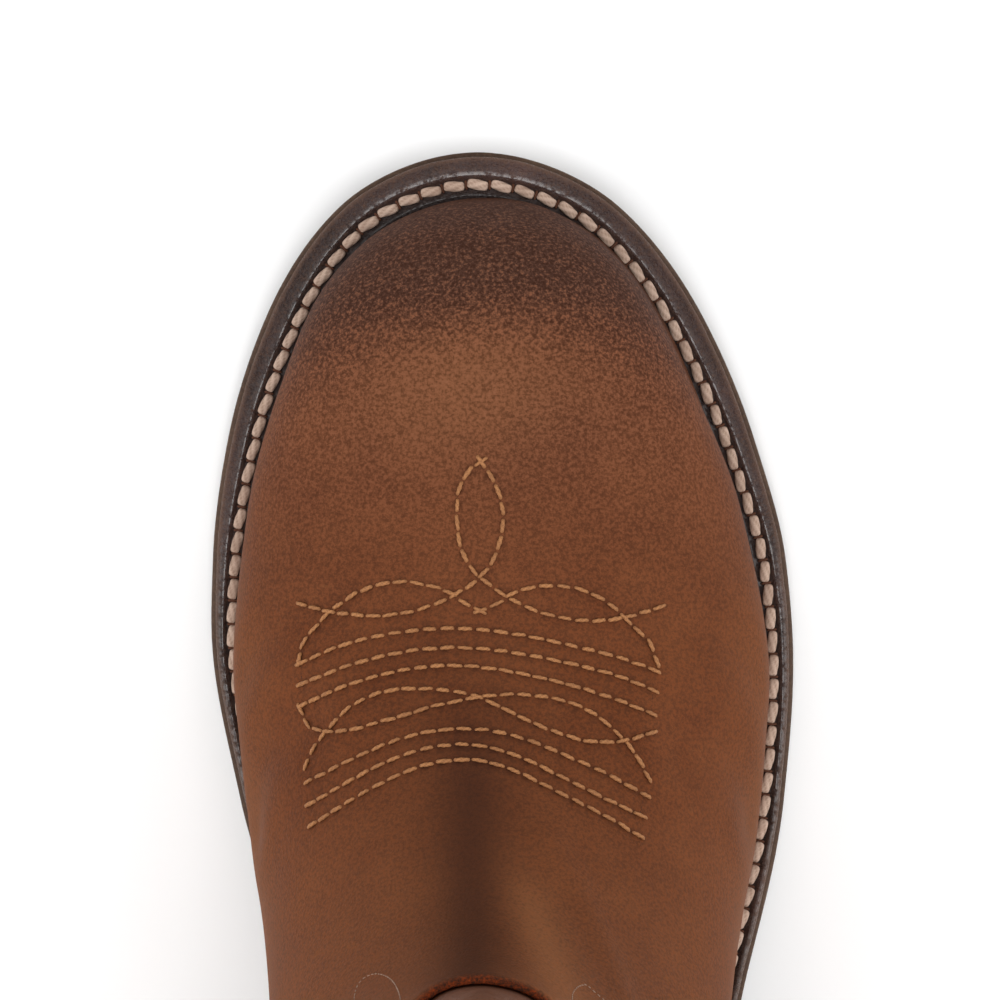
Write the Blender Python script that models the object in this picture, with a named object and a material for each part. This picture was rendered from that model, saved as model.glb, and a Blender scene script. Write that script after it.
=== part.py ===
"""A pull-on cowboy boot for the right foot, with a round toe, a welted sole and a low stacked heel.

Lengths are in metres and +Z is up. The toe points along -Y and the inner (medial) side of the foot is +X.
The origin is on the floor under the middle of the heel. Along the boot, places are measured forward from the
back of the sole, and every profile and outline below is a table of shares of the named sizes.
"""

import math

import bmesh
import bpy
import numpy as np

# Sole and heel
SOLE_LENGTH = 0.282
BALL_WIDTH = 0.1085
OUTSOLE_THICKNESS = 0.0055
WELT_THICKNESS = 0.0035
WELT_SETBACK = 0.0009
TOE_SPRING = 0.010
HEEL_HEIGHT = 0.0285
HEEL_CAP_THICKNESS = 0.0065
HEEL_LENGTH = 0.072
HEEL_TAPER = 0.0030
HEEL_LEAN = 0.0050
HEEL_BREAST_HOLLOW = 0.004
INSOLE_THICKNESS = 0.0030
SOLE_EDGE_ROUND = 0.0009

# Upper
UPPER_WIDTH = 0.097
UPPER_WALL = 0.0020
OVERLAY_WALL = 0.0018
THROAT_HEIGHT = 0.147
COLLAR_FRONT_HEIGHT = 0.262
COLLAR_BACK_HEIGHT = 0.266
COLLAR_SIDE_HEIGHT = 0.298
ANKLE_WIDTH = 0.080
COLLAR_WIDTH = 0.098
FEATHER_SCALE = 0.885
FEATHER_BACK = 0.0037
FEATHER_FRONT_MARGIN = 0.0085
FEATHER_TIP_TURN = 0.0018

# Trim
BINDING_WALL = 0.0008
BINDING_DEPTH = 0.0065
PIPING_WIDTH = 0.0034
PIPING_HEIGHT = 0.0016
STRAP_WIDTH = 0.026
STRAP_WALL = 0.0020
STRAP_LEG = 0.048
STRAP_LOOP_RISE = 0.017
STRAP_LOOP_GAP = 0.0090
STRAP_LOOP_BULGE = 0.0008
STRAP_BELOW_BINDING = 0.003

# Gap between pieces that touch
CLEARANCE = 0.0003
FEATHER_GAP = 0.0005

# Underside of the outsole: along is a share of SOLE_LENGTH, heel of HEEL_HEIGHT and toe of TOE_SPRING
SOLE_LINE = (
    # along, heel, toe
    (0.000, 1.00, 0.00),
    (0.255, 0.90, 0.00),
    (0.370, 0.66, 0.00),
    (0.480, 0.23, 0.00),
    (0.585, 0.00, 0.00),
    (0.740, 0.00, 0.00),
    (0.870, 0.00, 0.26),
    (1.000, 0.00, 1.00),
)

# Outline of the sole: centre (towards the inner side) and half width as shares of BALL_WIDTH
SOLE_OUTLINE = (
    # along, centre, half
    (0.000, 0.000, 0.000),
    (0.050, 0.000, 0.240),
    (0.120, 0.000, 0.297),
    (0.270, -0.022, 0.306),
    (0.430, -0.066, 0.367),
    (0.574, -0.048, 0.468),
    (0.680, -0.031, 0.500),
    (0.732, -0.026, 0.493),
    (0.811, -0.012, 0.453),
    (0.890, -0.001, 0.378),
    (0.965, 0.008, 0.238),
    (1.000, 0.011, 0.000),
)

# Widest outline of the upper, seen from above, as shares of UPPER_WIDTH. It ends where the feather edge does
UPPER_OUTLINE = (
    # along, centre, half
    (0.000, 0.000, 0.000),
    (0.040, 0.000, 0.245),
    (0.120, 0.000, 0.345),
    (0.270, -0.008, 0.378),
    (0.455, -0.032, 0.436),
    (0.554, -0.037, 0.478),
    (0.657, -0.033, 0.506),
    (0.760, -0.020, 0.469),
    (0.852, -0.003, 0.381),
    (0.905, 0.003, 0.309),
    (0.941, 0.003, 0.219),
    (0.970, -0.006, 0.000),
)

# Ridge from the toe to the throat: rise is a share of the height from the toe's feather edge to the throat
RIDGE = (
    # along, rise
    (0.970, 0.000),
    (0.9655, 0.085),
    (0.948, 0.175),
    (0.915, 0.240),
    (0.858, 0.285),
    (0.770, 0.318),
    (0.681, 0.365),
    (0.612, 0.440),
    (0.558, 0.545),
    (0.512, 0.680),
    (0.4875, 0.840),
    (0.4795, 1.000),
)

# Front of the shaft above the throat: rise as a share of the height from the throat to the collar
SHAFT_FRONT = (
    # along, rise
    (0.4785, 0.300),
    (0.482, 0.650),
    (0.489, 1.000),
)

# Back of the boot: rise as a share of the height from the heel's feather edge to the collar
BACK_LINE = (
    # along, rise
    (0.0131, 0.00),
    (0.0020, 0.06),
    (0.0040, 0.13),
    (0.0200, 0.22),
    (0.0380, 0.31),
    (0.0450, 0.40),
    (0.0440, 0.52),
    (0.0350, 0.67),
    (0.0230, 0.84),
    (0.0150, 1.00),
)

# Fullness of the section just under the ridge, from 1 (a sharp ridge) through 2 (an ellipse) to 3 (boxy)
RIDGE_FULLNESS = (
    # along, fullness
    (0.480, 1.10),
    (0.560, 1.35),
    (0.640, 1.75),
    (0.760, 2.20),
    (0.880, 2.45),
    (0.970, 2.30),
)

# How each ring of the upper runs from the ridge to the back line, by level: 0 (feather edge) to 1 (collar)
RINGS = (
    # level, back (share of the back line's rise), keep (share of the sole's curve), sag (share of THROAT_HEIGHT)
    (0.00, 0.000, 1.00, 0.000),
    (0.15, 0.040, 0.75, 0.085),
    (0.30, 0.130, 0.48, 0.120),
    (0.45, 0.255, 0.20, 0.180),
    (0.60, 0.420, 0.00, 0.170),
    (0.75, 0.610, 0.00, 0.085),
    (0.90, 0.850, 0.00, -0.070),
    (1.00, 1.000, 0.00, -0.232),
)

# Top edge of the vamp and the counter, as ring levels at places round the boot (0 at the front, 1 at the back)
OVERLAY_TOP = (
    # place, level
    (0.000, 0.611),
    (0.015, 0.615),
    (0.035, 0.625),
    (0.060, 0.630),
    (0.090, 0.612),
    (0.125, 0.575),
    (0.160, 0.548),
    (0.30, 0.500),
    (0.46, 0.470),
    (0.64, 0.452),
    (0.76, 0.458),
    (0.90, 0.492),
    (1.00, 0.515),
)
SEAM_PLACE = 0.50

# Heights between which the foot's sections turn into the shaft's ovals, as shares of THROAT_HEIGHT
FOOT_END = 0.40
SHAFT_START = 0.96
WIDEST_RISE = 0.36
WIDEST_RISE_LIMIT = 0.021
SHAFT_WIDEST = 0.55
NOSE_FULLNESS_THROAT = 1.05
NOSE_FULLNESS_COLLAR = 1.75

AROUND_STEPS = 24
JOIN_STEP = 14
OVERLAY_ROWS = 15
SHAFT_ROWS = 7


def table_column(table, name, names):
    """One named column of a table, as an array."""
    return np.array([row[names.index(name)] for row in table], float)


def smooth_through(xs, ys, x):
    """A smooth curve through the points that never overshoots between two of them (monotone cubic)."""
    order = np.argsort(xs)
    xs, ys = np.asarray(xs, float)[order], np.asarray(ys, float)[order]
    x = np.clip(np.asarray(x, float), xs[0], xs[-1])
    step = np.diff(xs)
    slope = np.diff(ys) / step
    inner = np.where(
        slope[:-1] * slope[1:] > 0,
        3 * (step[:-1] + step[1:])
        / ((2 * step[1:] + step[:-1]) / np.where(slope[:-1] == 0, 1, slope[:-1])
           + (step[1:] + 2 * step[:-1]) / np.where(slope[1:] == 0, 1, slope[1:])),
        0.0,
    )
    tangent = np.concatenate([[slope[0]], inner, [slope[-1]]])
    i = np.clip(np.searchsorted(xs, x, side="right") - 1, 0, len(step) - 1)
    u = (x - xs[i]) / step[i]
    return (
        (1 + 2 * u) * (1 - u) ** 2 * ys[i]
        + u * (1 - u) ** 2 * step[i] * tangent[i]
        + u * u * (3 - 2 * u) * ys[i + 1]
        + u * u * (u - 1) * step[i] * tangent[i + 1]
    )


def smooth_step(low, high, x):
    """0 below low, 1 above high, and an S curve between."""
    u = np.clip((np.asarray(x, float) - low) / (high - low), 0, 1)
    return u * u * (3 - 2 * u)


def smooth_path(points, count):
    """A dense run of points along a smooth curve through the given ones, evenly spaced along its length."""
    points = np.asarray(points, float)
    chord = np.concatenate([[0], np.cumsum(np.sqrt(np.linalg.norm(np.diff(points, axis=0), axis=1)))])
    at = np.linspace(0, chord[-1], 40 * count)
    dense = np.stack([smooth_through(chord, points[:, k], at) for k in range(points.shape[1])], axis=1)
    run = np.concatenate([[0], np.cumsum(np.linalg.norm(np.diff(dense, axis=0), axis=1))])
    even = np.linspace(0, run[-1], count)
    return np.stack([np.interp(even, run, dense[:, k]) for k in range(points.shape[1])], axis=1)


def fullness_curve(fullness, x):
    """Square of the half width, from 0 at the nose (x = 0) to 1 at the widest place (x = 1)."""
    x = np.clip(x, 0, 1)
    return fullness * x + (3 - 2 * fullness) * x**2 + (fullness - 2) * x**3


def outline_width(table, scale, along):
    """Centre and half width of an outline at places given as shares of the length. Its two ends are round."""
    names = ("along", "centre", "half")
    at = table_column(table, "along", names)
    centre = smooth_through(at, table_column(table, "centre", names), along)
    squared = smooth_through(at, table_column(table, "half", names) ** 2, along)
    return centre * scale, np.sqrt(np.clip(squared, 0, None)) * scale


def sole_underside(forward):
    """Height of the outsole's underside at distances forward from the back of the sole."""
    names = ("along", "heel", "toe")
    at = table_column(SOLE_LINE, "along", names)
    height = (
        table_column(SOLE_LINE, "heel", names) * HEEL_HEIGHT
        + table_column(SOLE_LINE, "toe", names) * TOE_SPRING
    )
    return smooth_through(at, height, np.asarray(forward, float) / SOLE_LENGTH)


def outsole_top(forward):
    """Height of the outsole's upper face."""
    return sole_underside(forward) + OUTSOLE_THICKNESS


def welt_top(forward):
    """Height of the welt's upper face."""
    return outsole_top(forward) + CLEARANCE + WELT_THICKNESS


def feather_line(forward):
    """Height of the upper's bottom edge, just over the welt."""
    return welt_top(forward) + FEATHER_GAP


def feather_width(share):
    """Centre and half width of the feather edge: the sole's outline drawn in, its tip turned to the outer side."""
    centre, half = outline_width(SOLE_OUTLINE, BALL_WIDTH, np.clip(share, 0, 1))
    return centre - FEATHER_TIP_TURN * smooth_step(0.84, 1.0, share), half * FEATHER_SCALE


TOE_FORWARD = SOLE_LENGTH - FEATHER_FRONT_MARGIN
TOE_LEVEL = float(feather_line(TOE_FORWARD))
HEEL_LEVEL = float(feather_line(FEATHER_BACK))


def front_profile():
    """Points (forward, height) up the toe, over the ridge and up the front of the shaft."""
    reach = TOE_FORWARD / RIDGE[0][0]
    foot = [(a * reach, TOE_LEVEL + r * (THROAT_HEIGHT - TOE_LEVEL)) for a, r in RIDGE]
    shaft = [(a * reach, THROAT_HEIGHT + r * (COLLAR_FRONT_HEIGHT - THROAT_HEIGHT)) for a, r in SHAFT_FRONT]
    return smooth_path(foot + shaft, 1500)


def back_profile():
    """Points (forward, height) up the back of the boot."""
    rows = [(a * SOLE_LENGTH, HEEL_LEVEL + r * (COLLAR_BACK_HEIGHT - HEEL_LEVEL)) for a, r in BACK_LINE]
    return smooth_path(rows, 1500)


FRONT = front_profile()
BACK = back_profile()


def ridge_height(forward):
    """Height of the ridge over a place on the foot, and very high behind the throat."""
    height = np.interp(-np.asarray(forward, float), -FRONT[:, 0][: throat_index()], FRONT[:, 1][: throat_index()])
    behind = np.clip(FRONT[throat_index() - 1, 0] - forward, 0, None)
    return height + 40.0 * behind


def throat_index():
    """How many points of the front profile run back, before the shaft's front turns forward again."""
    return int(np.argmin(FRONT[:, 0])) + 1


def front_place(height):
    """How far forward the front profile lies at a height."""
    return np.interp(height, FRONT[:, 1], FRONT[:, 0])


def back_place(height):
    """How far forward the back profile lies at a height."""
    return np.interp(height, BACK[:, 1], BACK[:, 0])


def foot_half_width(forward, height, side):
    """Half width of the foot part and how far its middle lies to the inner side, at a place and height."""
    floor = feather_line(forward)
    ridge = ridge_height(forward)
    widest = floor + np.minimum(WIDEST_RISE * (ridge - floor), WIDEST_RISE_LIMIT)
    back = back_place(height)
    share = np.clip((forward - back) / (TOE_FORWARD - back), 0, 1)
    span = UPPER_OUTLINE[-1][0]
    centre, half = outline_width(UPPER_OUTLINE, UPPER_WIDTH, share * span)
    middle = centre * smooth_step(0.62, 1.0, forward / TOE_FORWARD) ** 2
    full = half + side * (centre - middle)
    edge_centre, edge_half = feather_width(share)
    edge = edge_half + side * (edge_centre - middle)
    up = np.clip((height - floor) / (widest - floor + 1e-9), 0, 1)
    low = edge + (full - edge) * (1 - (1 - up) ** 2)
    names = ("along", "fullness")
    fullness = smooth_through(
        table_column(RIDGE_FULLNESS, "along", names),
        table_column(RIDGE_FULLNESS, "fullness", names),
        forward / TOE_FORWARD * span,
    )
    below = (ridge - height) / (ridge - widest + 1e-9)
    high = full * np.sqrt(fullness_curve(fullness, below))
    return np.where(height < widest, low, high), middle


def shaft_half_width(forward, height):
    """Half width of the shaft's oval, whose nose is narrow at the throat and rounder at the collar."""
    front, back = front_place(height), back_place(height)
    depth = front - back
    up = np.clip((height - THROAT_HEIGHT) / (COLLAR_SIDE_HEIGHT - THROAT_HEIGHT), 0, 1)
    half = (ANKLE_WIDTH + (COLLAR_WIDTH - ANKLE_WIDTH) * up) / 2
    nose = NOSE_FULLNESS_THROAT + (NOSE_FULLNESS_COLLAR - NOSE_FULLNESS_THROAT) * up
    ahead = (front - forward) / (SHAFT_WIDEST * depth)
    behind = (forward - back) / ((1 - SHAFT_WIDEST) * depth)
    ahead_part = fullness_curve(nose, ahead)
    behind_part = fullness_curve(2.0, behind)
    return half * np.sqrt(np.clip(np.where(ahead < 1, ahead_part, behind_part), 0, None))


def boot_surface(place, level, side):
    """A point on the boot's outermost surface.

    place runs from 0 at the front to 1 at the back, level from 0 at the feather edge to 1 at the collar, and
    side is 1 on the inner side of the foot and -1 on the outer side.
    """
    place, level, side = np.broadcast_arrays(*(np.asarray(a, float) for a in (place, level, side)))
    names = ("level", "back", "keep", "sag")
    levels = table_column(RINGS, "level", names)
    spread = {name: smooth_through(levels, table_column(RINGS, name, names), level) for name in names[1:]}
    at = np.linspace(0, 1, len(FRONT))
    front_forward, front_height = np.interp(level, at, FRONT[:, 0]), np.interp(level, at, FRONT[:, 1])
    back_height = HEEL_LEVEL + spread["back"] * (COLLAR_BACK_HEIGHT - HEEL_LEVEL)
    back_forward = back_place(back_height)
    forward = front_forward + (back_forward - front_forward) * place
    chord = feather_line(front_forward) + (feather_line(back_forward) - feather_line(front_forward)) * place
    foot_sag = 6.75 * place * (1 - place) ** 2
    collar_wave = np.sin(np.pi * place) ** 1.6
    blend = smooth_step(0.62, 0.92, level)
    height = (
        front_height
        + (back_height - front_height) * place
        + spread["keep"] * (feather_line(forward) - chord)
        - spread["sag"] * THROAT_HEIGHT * (foot_sag + (collar_wave - foot_sag) * blend)
    )
    foot, middle = foot_half_width(forward, height, side)
    shaft = shaft_half_width(forward, height)
    turn = smooth_step(FOOT_END * THROAT_HEIGHT, SHAFT_START * THROAT_HEIGHT, height)
    half = np.where((place <= 0) | (place >= 1), 0.0, foot + (shaft - foot) * turn)
    across = middle * (1 - turn) + side * half
    return np.stack([across, HEEL_LENGTH / 2 - forward, height], axis=-1)


def boot_layer(place, level, side, depth):
    """The boot's surface moved inwards by a depth, along its own normal, but level at the feather edge."""
    small = 0.002
    place, level, side = np.broadcast_arrays(*(np.asarray(a, float) for a in (place, level, side)))
    low, high = np.clip(level - small, 0, 1), np.clip(level + small, 0, 1)
    rise = boot_surface(place, high, side) - boot_surface(place, low, side)
    near, far = np.clip(place - small, 0, 1), np.clip(place + small, 0, 1)
    along = boot_surface(far, level, side) - boot_surface(near, level, side)
    across_front = np.stack([side * np.ones_like(place), 0 * place, 0 * place], axis=-1)
    on_line = (place <= 0)[..., None] | (place >= 1)[..., None]
    turned = np.where((place >= 1)[..., None], -across_front, across_front)
    along = np.where(on_line, turned, along)
    normal = np.cross(along, rise) * side[..., None]
    normal[..., 2] *= smooth_step(0.0, 0.03, level)
    normal /= np.linalg.norm(normal, axis=-1, keepdims=True)
    return boot_surface(place, level, side) - normal * np.asarray(depth, float)[..., None]


def even_places(steps, first=0.0, last=1.0):
    """Places round one side of the boot, closer together at the front and the back."""
    spread = (1 - np.cos(np.pi * np.linspace(0, 1, steps + 1))) / 2
    return first + (last - first) * spread


def closer_low(steps):
    """Shares from 0 to 1 whose steps start short, for the tight curves near the sole."""
    share = np.linspace(0, 1, steps + 1)
    return share * (0.42 + 0.58 * share)


def new_part(name, colour, roughness, metallic=0.0):
    """An empty mesh object with its own material."""
    material = bpy.data.materials.new(name)
    material.use_nodes = True
    shader = material.node_tree.nodes["Principled BSDF"]
    shader.inputs["Base Color"].default_value = (*colour, 1.0)
    shader.inputs["Roughness"].default_value = roughness
    shader.inputs["Metallic"].default_value = metallic
    mesh = bpy.data.meshes.new(name)
    mesh.materials.append(material)
    obj = bpy.data.objects.new(name, mesh)
    bpy.context.scene.collection.objects.link(obj)
    return obj


def skin(obj, grid, close_around, close_along):
    """Fills a mesh with the quads of a grid of points (rows along, columns around), closed or capped.

    A cap joins the points of an end row across in pairs, so a long thin end gets a ladder of small faces.
    """
    bm = bmesh.new()
    rows = [[bm.verts.new(tuple(point)) for point in row] for row in grid]
    row_count, column_count = len(rows), len(rows[0])
    for i in range(row_count if close_along else row_count - 1):
        for j in range(column_count if close_around else column_count - 1):
            corner = rows[i][j], rows[i][(j + 1) % column_count]
            opposite = rows[(i + 1) % row_count][(j + 1) % column_count], rows[(i + 1) % row_count][j]
            bm.faces.new((*corner, *opposite))
    if not close_along:
        for row in (rows[0], rows[-1]):
            for j in range((column_count - 1) // 2):
                loop = (row[j], row[j + 1], row[-2 - j], row[-1 - j])
                bm.faces.new(list(dict.fromkeys(loop)))
    bmesh.ops.remove_doubles(bm, verts=bm.verts, dist=1e-6)
    bmesh.ops.recalc_face_normals(bm, faces=bm.faces)
    bm.to_mesh(obj.data)
    bm.free()
    obj.data.shade_smooth()
    obj.data.set_sharp_from_angle(angle=math.radians(35))
    return obj


def round_the_boot(places):
    """Places and sides all the way round: down the outer side from the front, and back up the inner side."""
    outer = [(p, -1.0) for p in places]
    inner = [(p, 1.0) for p in places[-2:0:-1]]
    joined = outer + inner
    return np.array([p for p, _ in joined]), np.array([s for _, s in joined])


def overlay_top(places):
    """Ring level of the overlays' top edge at places round the boot."""
    names = ("place", "level")
    at, level = table_column(OVERLAY_TOP, "place", names), table_column(OVERLAY_TOP, "level", names)
    return smooth_through(at, level, places)


def overlay_levels(places):
    """Rows of levels from the feather edge up to the overlays' top edge, which the upper's own rows share."""
    return [overlay_top(places) * share for share in closer_low(OVERLAY_ROWS)]


def wall_rows(places, sides, rows, outside, inside):
    """The section of a wall: up its outer skin and down its inner one."""
    outer = [boot_layer(places, row, sides, outside) for row in rows]
    inner = [boot_layer(places, row, sides, inside) for row in rows[::-1]]
    return outer + inner


def build_upper(colour):
    """The hollow shaft and foot lining: an outer and an inner skin joined at the collar and the feather edge."""
    places, sides = round_the_boot(even_places(AROUND_STEPS))
    top = overlay_top(places)
    rows = overlay_levels(places) + [top + (1 - top) * k / SHAFT_ROWS for k in range(1, SHAFT_ROWS + 1)]
    outside = OVERLAY_WALL + CLEARANCE
    grid = wall_rows(places, sides, rows, outside, outside + UPPER_WALL)
    return skin(new_part("upper", colour, 0.55), grid, close_around=True, close_along=True)


def cap_sides(obj, grid):
    """A closed band: the grid's rows run round the wall's section and its columns from end to end."""
    return skin(obj, np.swapaxes(np.array(grid), 0, 1), close_around=True, close_along=False)


def build_vamp(colour):
    """The vamp runs from the join on the outer side, round the toe, to the join on the inner side."""
    half = even_places(AROUND_STEPS)[: JOIN_STEP + 1]
    half[-1] -= CLEARANCE / SOLE_LENGTH
    places = np.concatenate([half[::-1], half[1:]])
    sides = np.concatenate([-np.ones(len(half)), np.ones(len(half) - 1)])
    grid = wall_rows(places, sides, overlay_levels(places), 0.0, OVERLAY_WALL)
    return cap_sides(new_part("vamp", colour, 0.5), grid)


def build_counter(colour):
    """The counter wraps the heel from join to join."""
    half = even_places(AROUND_STEPS)[JOIN_STEP:]
    half[0] += CLEARANCE / SOLE_LENGTH
    places = np.concatenate([half, half[-2::-1]])
    sides = np.concatenate([-np.ones(len(half)), np.ones(len(half) - 1)])
    grid = wall_rows(places, sides, overlay_levels(places), 0.0, OVERLAY_WALL)
    return cap_sides(new_part("counter", colour, 0.5), grid)


def section_loft(obj, stations, section):
    """A solid from the sections at stations from the back to the front, closed by a face at each end."""
    grid = []
    for forward in stations:
        grid.append([(x, HEEL_LENGTH / 2 - forward, z) for x, z in section(forward)])
    return skin(obj, np.array(grid), close_around=True, close_along=False)


def tip_stations(steps, length):
    """Stations from end to end, close together near the round ends, whose first and last are just inside."""
    share = even_places(steps)
    share[0], share[-1] = share[1] / 12, 1 - share[1] / 12
    return share * length


def build_outsole(colour):
    """The outsole follows the floor line, with its two edges broken."""

    def section(forward):
        centre, half = outline_width(SOLE_OUTLINE, BALL_WIDTH, forward / SOLE_LENGTH)
        low, high = sole_underside(forward), outsole_top(forward)
        edge = min(SOLE_EDGE_ROUND, 0.3 * half)
        return [
            (centre - half + edge, low),
            (centre + half - edge, low),
            (centre + half, low + edge),
            (centre + half, high - edge),
            (centre + half - edge, high),
            (centre - half + edge, high),
            (centre - half, high - edge),
            (centre - half, low + edge),
        ]

    return section_loft(new_part("outsole", colour, 0.6), tip_stations(44, SOLE_LENGTH), section)


def build_welt(colour):
    """The welt is a closed strip between the outsole's edge and the insole, flat but for its outer edge."""
    share, sides = round_the_boot(even_places(36))
    centre, half = outline_width(SOLE_OUTLINE, BALL_WIDTH, share)
    shrink = (SOLE_LENGTH - 2 * WELT_SETBACK) / SOLE_LENGTH
    outer_forward = WELT_SETBACK + share * SOLE_LENGTH * shrink
    outer_across = centre + sides * np.maximum(half - WELT_SETBACK, 0)
    inner_forward, inner_across = insole_edge(share, sides, 0.0)
    grid = []
    for k in range(len(share)):
        edge_forward = outer_forward[k]
        low_out, high_out = outsole_top(edge_forward) + CLEARANCE, welt_top(edge_forward)
        low_in, high_in = outsole_top(inner_forward[k]) + CLEARANCE, welt_top(inner_forward[k])
        turned = np.array([outer_across[k] - inner_across[k], inner_forward[k] - edge_forward])
        turned *= SOLE_EDGE_ROUND / max(np.linalg.norm(turned), 1e-9)
        y_out, y_in = HEEL_LENGTH / 2 - edge_forward, HEEL_LENGTH / 2 - inner_forward[k]
        grid.append([
            (inner_across[k], y_in, low_in),
            (outer_across[k], y_out, low_out),
            (outer_across[k], y_out, high_out - SOLE_EDGE_ROUND),
            (outer_across[k] - turned[0], y_out - turned[1], high_out),
            (inner_across[k], y_in, high_in),
        ])
    return skin(new_part("welt", colour, 0.5), np.array(grid), close_around=True, close_along=True)


def insole_edge(share, sides, gap):
    """Where the inside of the upper's bottom edge runs, drawn in by a gap."""
    draw = OVERLAY_WALL + UPPER_WALL + 2 * CLEARANCE + gap
    centre, half = feather_width(share)
    start, end = FEATHER_BACK + draw, TOE_FORWARD - draw
    narrower = draw * (1 - np.exp(-((half / (2 * draw)) ** 2)))
    return start + (end - start) * share, centre + sides * (half - narrower)


def build_insole(colour):
    """The insole board lies on the outsole, inside the welt, and comes up a little inside the upper."""
    share = tip_stations(34, 1.0)
    forward, _ = insole_edge(share, 1.0, 3 * CLEARANCE)
    _, outer = insole_edge(share, -1.0, 3 * CLEARANCE)
    _, inner = insole_edge(share, 1.0, 3 * CLEARANCE)
    edges = {f: (left, right) for f, left, right in zip(forward, outer, inner)}

    def section(station):
        left, right = edges[station]
        low = outsole_top(station) + CLEARANCE
        high = feather_line(station) + INSOLE_THICKNESS
        return [(left, low), (right, low), (right, high), (left, high)]

    return section_loft(new_part("insole", colour, 0.7), forward, section)


def heel_outline(steps, draw_in, lean):
    """Points (across, forward) round the heel, from the breast's outer corner round the back to the inner one."""
    spread = 1 - np.cos(np.pi / 2 * np.linspace(0, 1, steps + 1))
    forward = HEEL_LENGTH * spread[::-1]
    centre, half = outline_width(SOLE_OUTLINE, BALL_WIDTH, forward / SOLE_LENGTH)
    half = half * (1 - 2 * draw_in / HEEL_LENGTH)
    forward = draw_in + forward * (1 - (draw_in + lean) / HEEL_LENGTH)
    outer = list(zip(centre - half, forward))
    inner = list(zip((centre + half)[-2::-1], forward[-2::-1]))
    breast = []
    for share in (0.25, 0.5, 0.75):
        across = inner[-1][0] + (outer[0][0] - inner[-1][0]) * share
        breast.append((across, forward[0] - HEEL_BREAST_HOLLOW * 4 * share * (1 - share)))
    return outer + inner + breast


def heel_loft(obj, rings):
    """A stack of outlines: each ring is (draw in, lean, height as a function of forward)."""
    grid = []
    for draw_in, lean, height in rings:
        grid.append([(x, HEEL_LENGTH / 2 - f, float(height(f))) for x, f in heel_outline(16, draw_in, lean)])
    return skin(obj, np.array(grid), close_around=True, close_along=False)


def build_heel_stack(colour):
    """The heel block tapers from the sole down to the cap."""

    def at(share):
        low = HEEL_CAP_THICKNESS + CLEARANCE
        return lambda forward: low + (sole_underside(forward) - CLEARANCE - low) * share

    rings = [(HEEL_TAPER * (1 - s), HEEL_LEAN * (1 - s), at(s)) for s in (0.0, 0.33, 0.66, 1.0)]
    return heel_loft(new_part("heel_stack", colour, 0.5), rings)


def build_heel_cap(colour):
    """The rubber cap stands on the floor."""
    bevel = SOLE_EDGE_ROUND / 2
    rings = [
        (HEEL_TAPER + bevel, HEEL_LEAN + bevel, lambda forward: 0.0),
        (HEEL_TAPER, HEEL_LEAN, lambda forward: bevel),
        (HEEL_TAPER, HEEL_LEAN, lambda forward: HEEL_CAP_THICKNESS),
    ]
    return heel_loft(new_part("heel_cap", colour, 0.8), rings)


def collar_frame(places, sides):
    """Middle of the wall at the collar, the outward normal and the way up, all round."""
    outside = OVERLAY_WALL + CLEARANCE
    outer = boot_layer(places, 1.0, sides, outside)
    inner = boot_layer(places, 1.0, sides, outside + UPPER_WALL)
    below = boot_layer(places, 0.99, sides, outside + UPPER_WALL / 2)
    middle = (outer + inner) / 2
    normal = (outer - inner) / np.linalg.norm(outer - inner, axis=-1, keepdims=True)
    up = middle - below
    up -= normal * np.sum(up * normal, axis=-1, keepdims=True)
    up /= np.linalg.norm(up, axis=-1, keepdims=True)
    return middle, normal, up


def build_binding(colour):
    """A strip folded over the collar: a U in section, all the way round."""
    places, sides = round_the_boot(even_places(AROUND_STEPS))
    middle, normal, up = collar_frame(places, sides)
    near = UPPER_WALL / 2 + CLEARANCE
    far = near + BINDING_WALL
    profile = (
        (far, -BINDING_DEPTH),
        (far, 0.0),
        (far * 0.7, far * 0.45),
        (0.0, CLEARANCE + BINDING_WALL),
        (-far * 0.7, far * 0.45),
        (-far, 0.0),
        (-far, -BINDING_DEPTH),
        (-near, -BINDING_DEPTH),
        (-near, CLEARANCE),
        (near, CLEARANCE),
        (near, -BINDING_DEPTH),
    )
    grid = [middle + normal * out + up * rise for out, rise in profile]
    grid = np.swapaxes(np.array(grid), 0, 1)
    return skin(new_part("collar_binding", colour, 0.5), grid, close_around=True, close_along=True)


def level_at_height(place, side, height):
    """Ring level at which the boot's surface reaches a height."""
    levels = np.linspace(0, 1, 400)
    heights = boot_surface(place, levels, side)[:, 2]
    return float(np.interp(height, heights, levels))


def collar_height_at(place, side):
    """Height of the collar at a place round the boot."""
    return float(boot_surface(place, 1.0, side)[2])


def strap_bottom(side):
    """Height of the lower end of a pull strap."""
    return collar_height_at(SEAM_PLACE, side) - STRAP_LEG


def build_piping(name, side, colour):
    """A raised seam down the side, from the pull strap to the top of the vamp."""
    top = level_at_height(SEAM_PLACE, side, strap_bottom(side) - 2 * CLEARANCE)
    bottom = float(overlay_top(SEAM_PLACE)) + 0.004
    levels = np.linspace(bottom, top, 15)
    outside = OVERLAY_WALL
    half = PIPING_WIDTH / 2
    grid = []
    for level in levels:
        depth = front_to_back(level)
        shift = half / depth
        row = []
        for across, raised in ((-1, 0), (-0.6, 0.75), (0, 1), (0.6, 0.75), (1, 0)):
            place = SEAM_PLACE + across * shift
            row.append(boot_layer(place, level, side, outside - raised * PIPING_HEIGHT))
        grid.append(row)
    return skin(new_part(name, colour, 0.45), np.array(grid), close_around=True, close_along=False)


def front_to_back(level):
    """Distance along the boot from the front to the back of a ring."""
    ends = boot_surface(np.array([0.0, 1.0]), level, 1.0)
    return float(ends[1, 1] - ends[0, 1])


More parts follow.
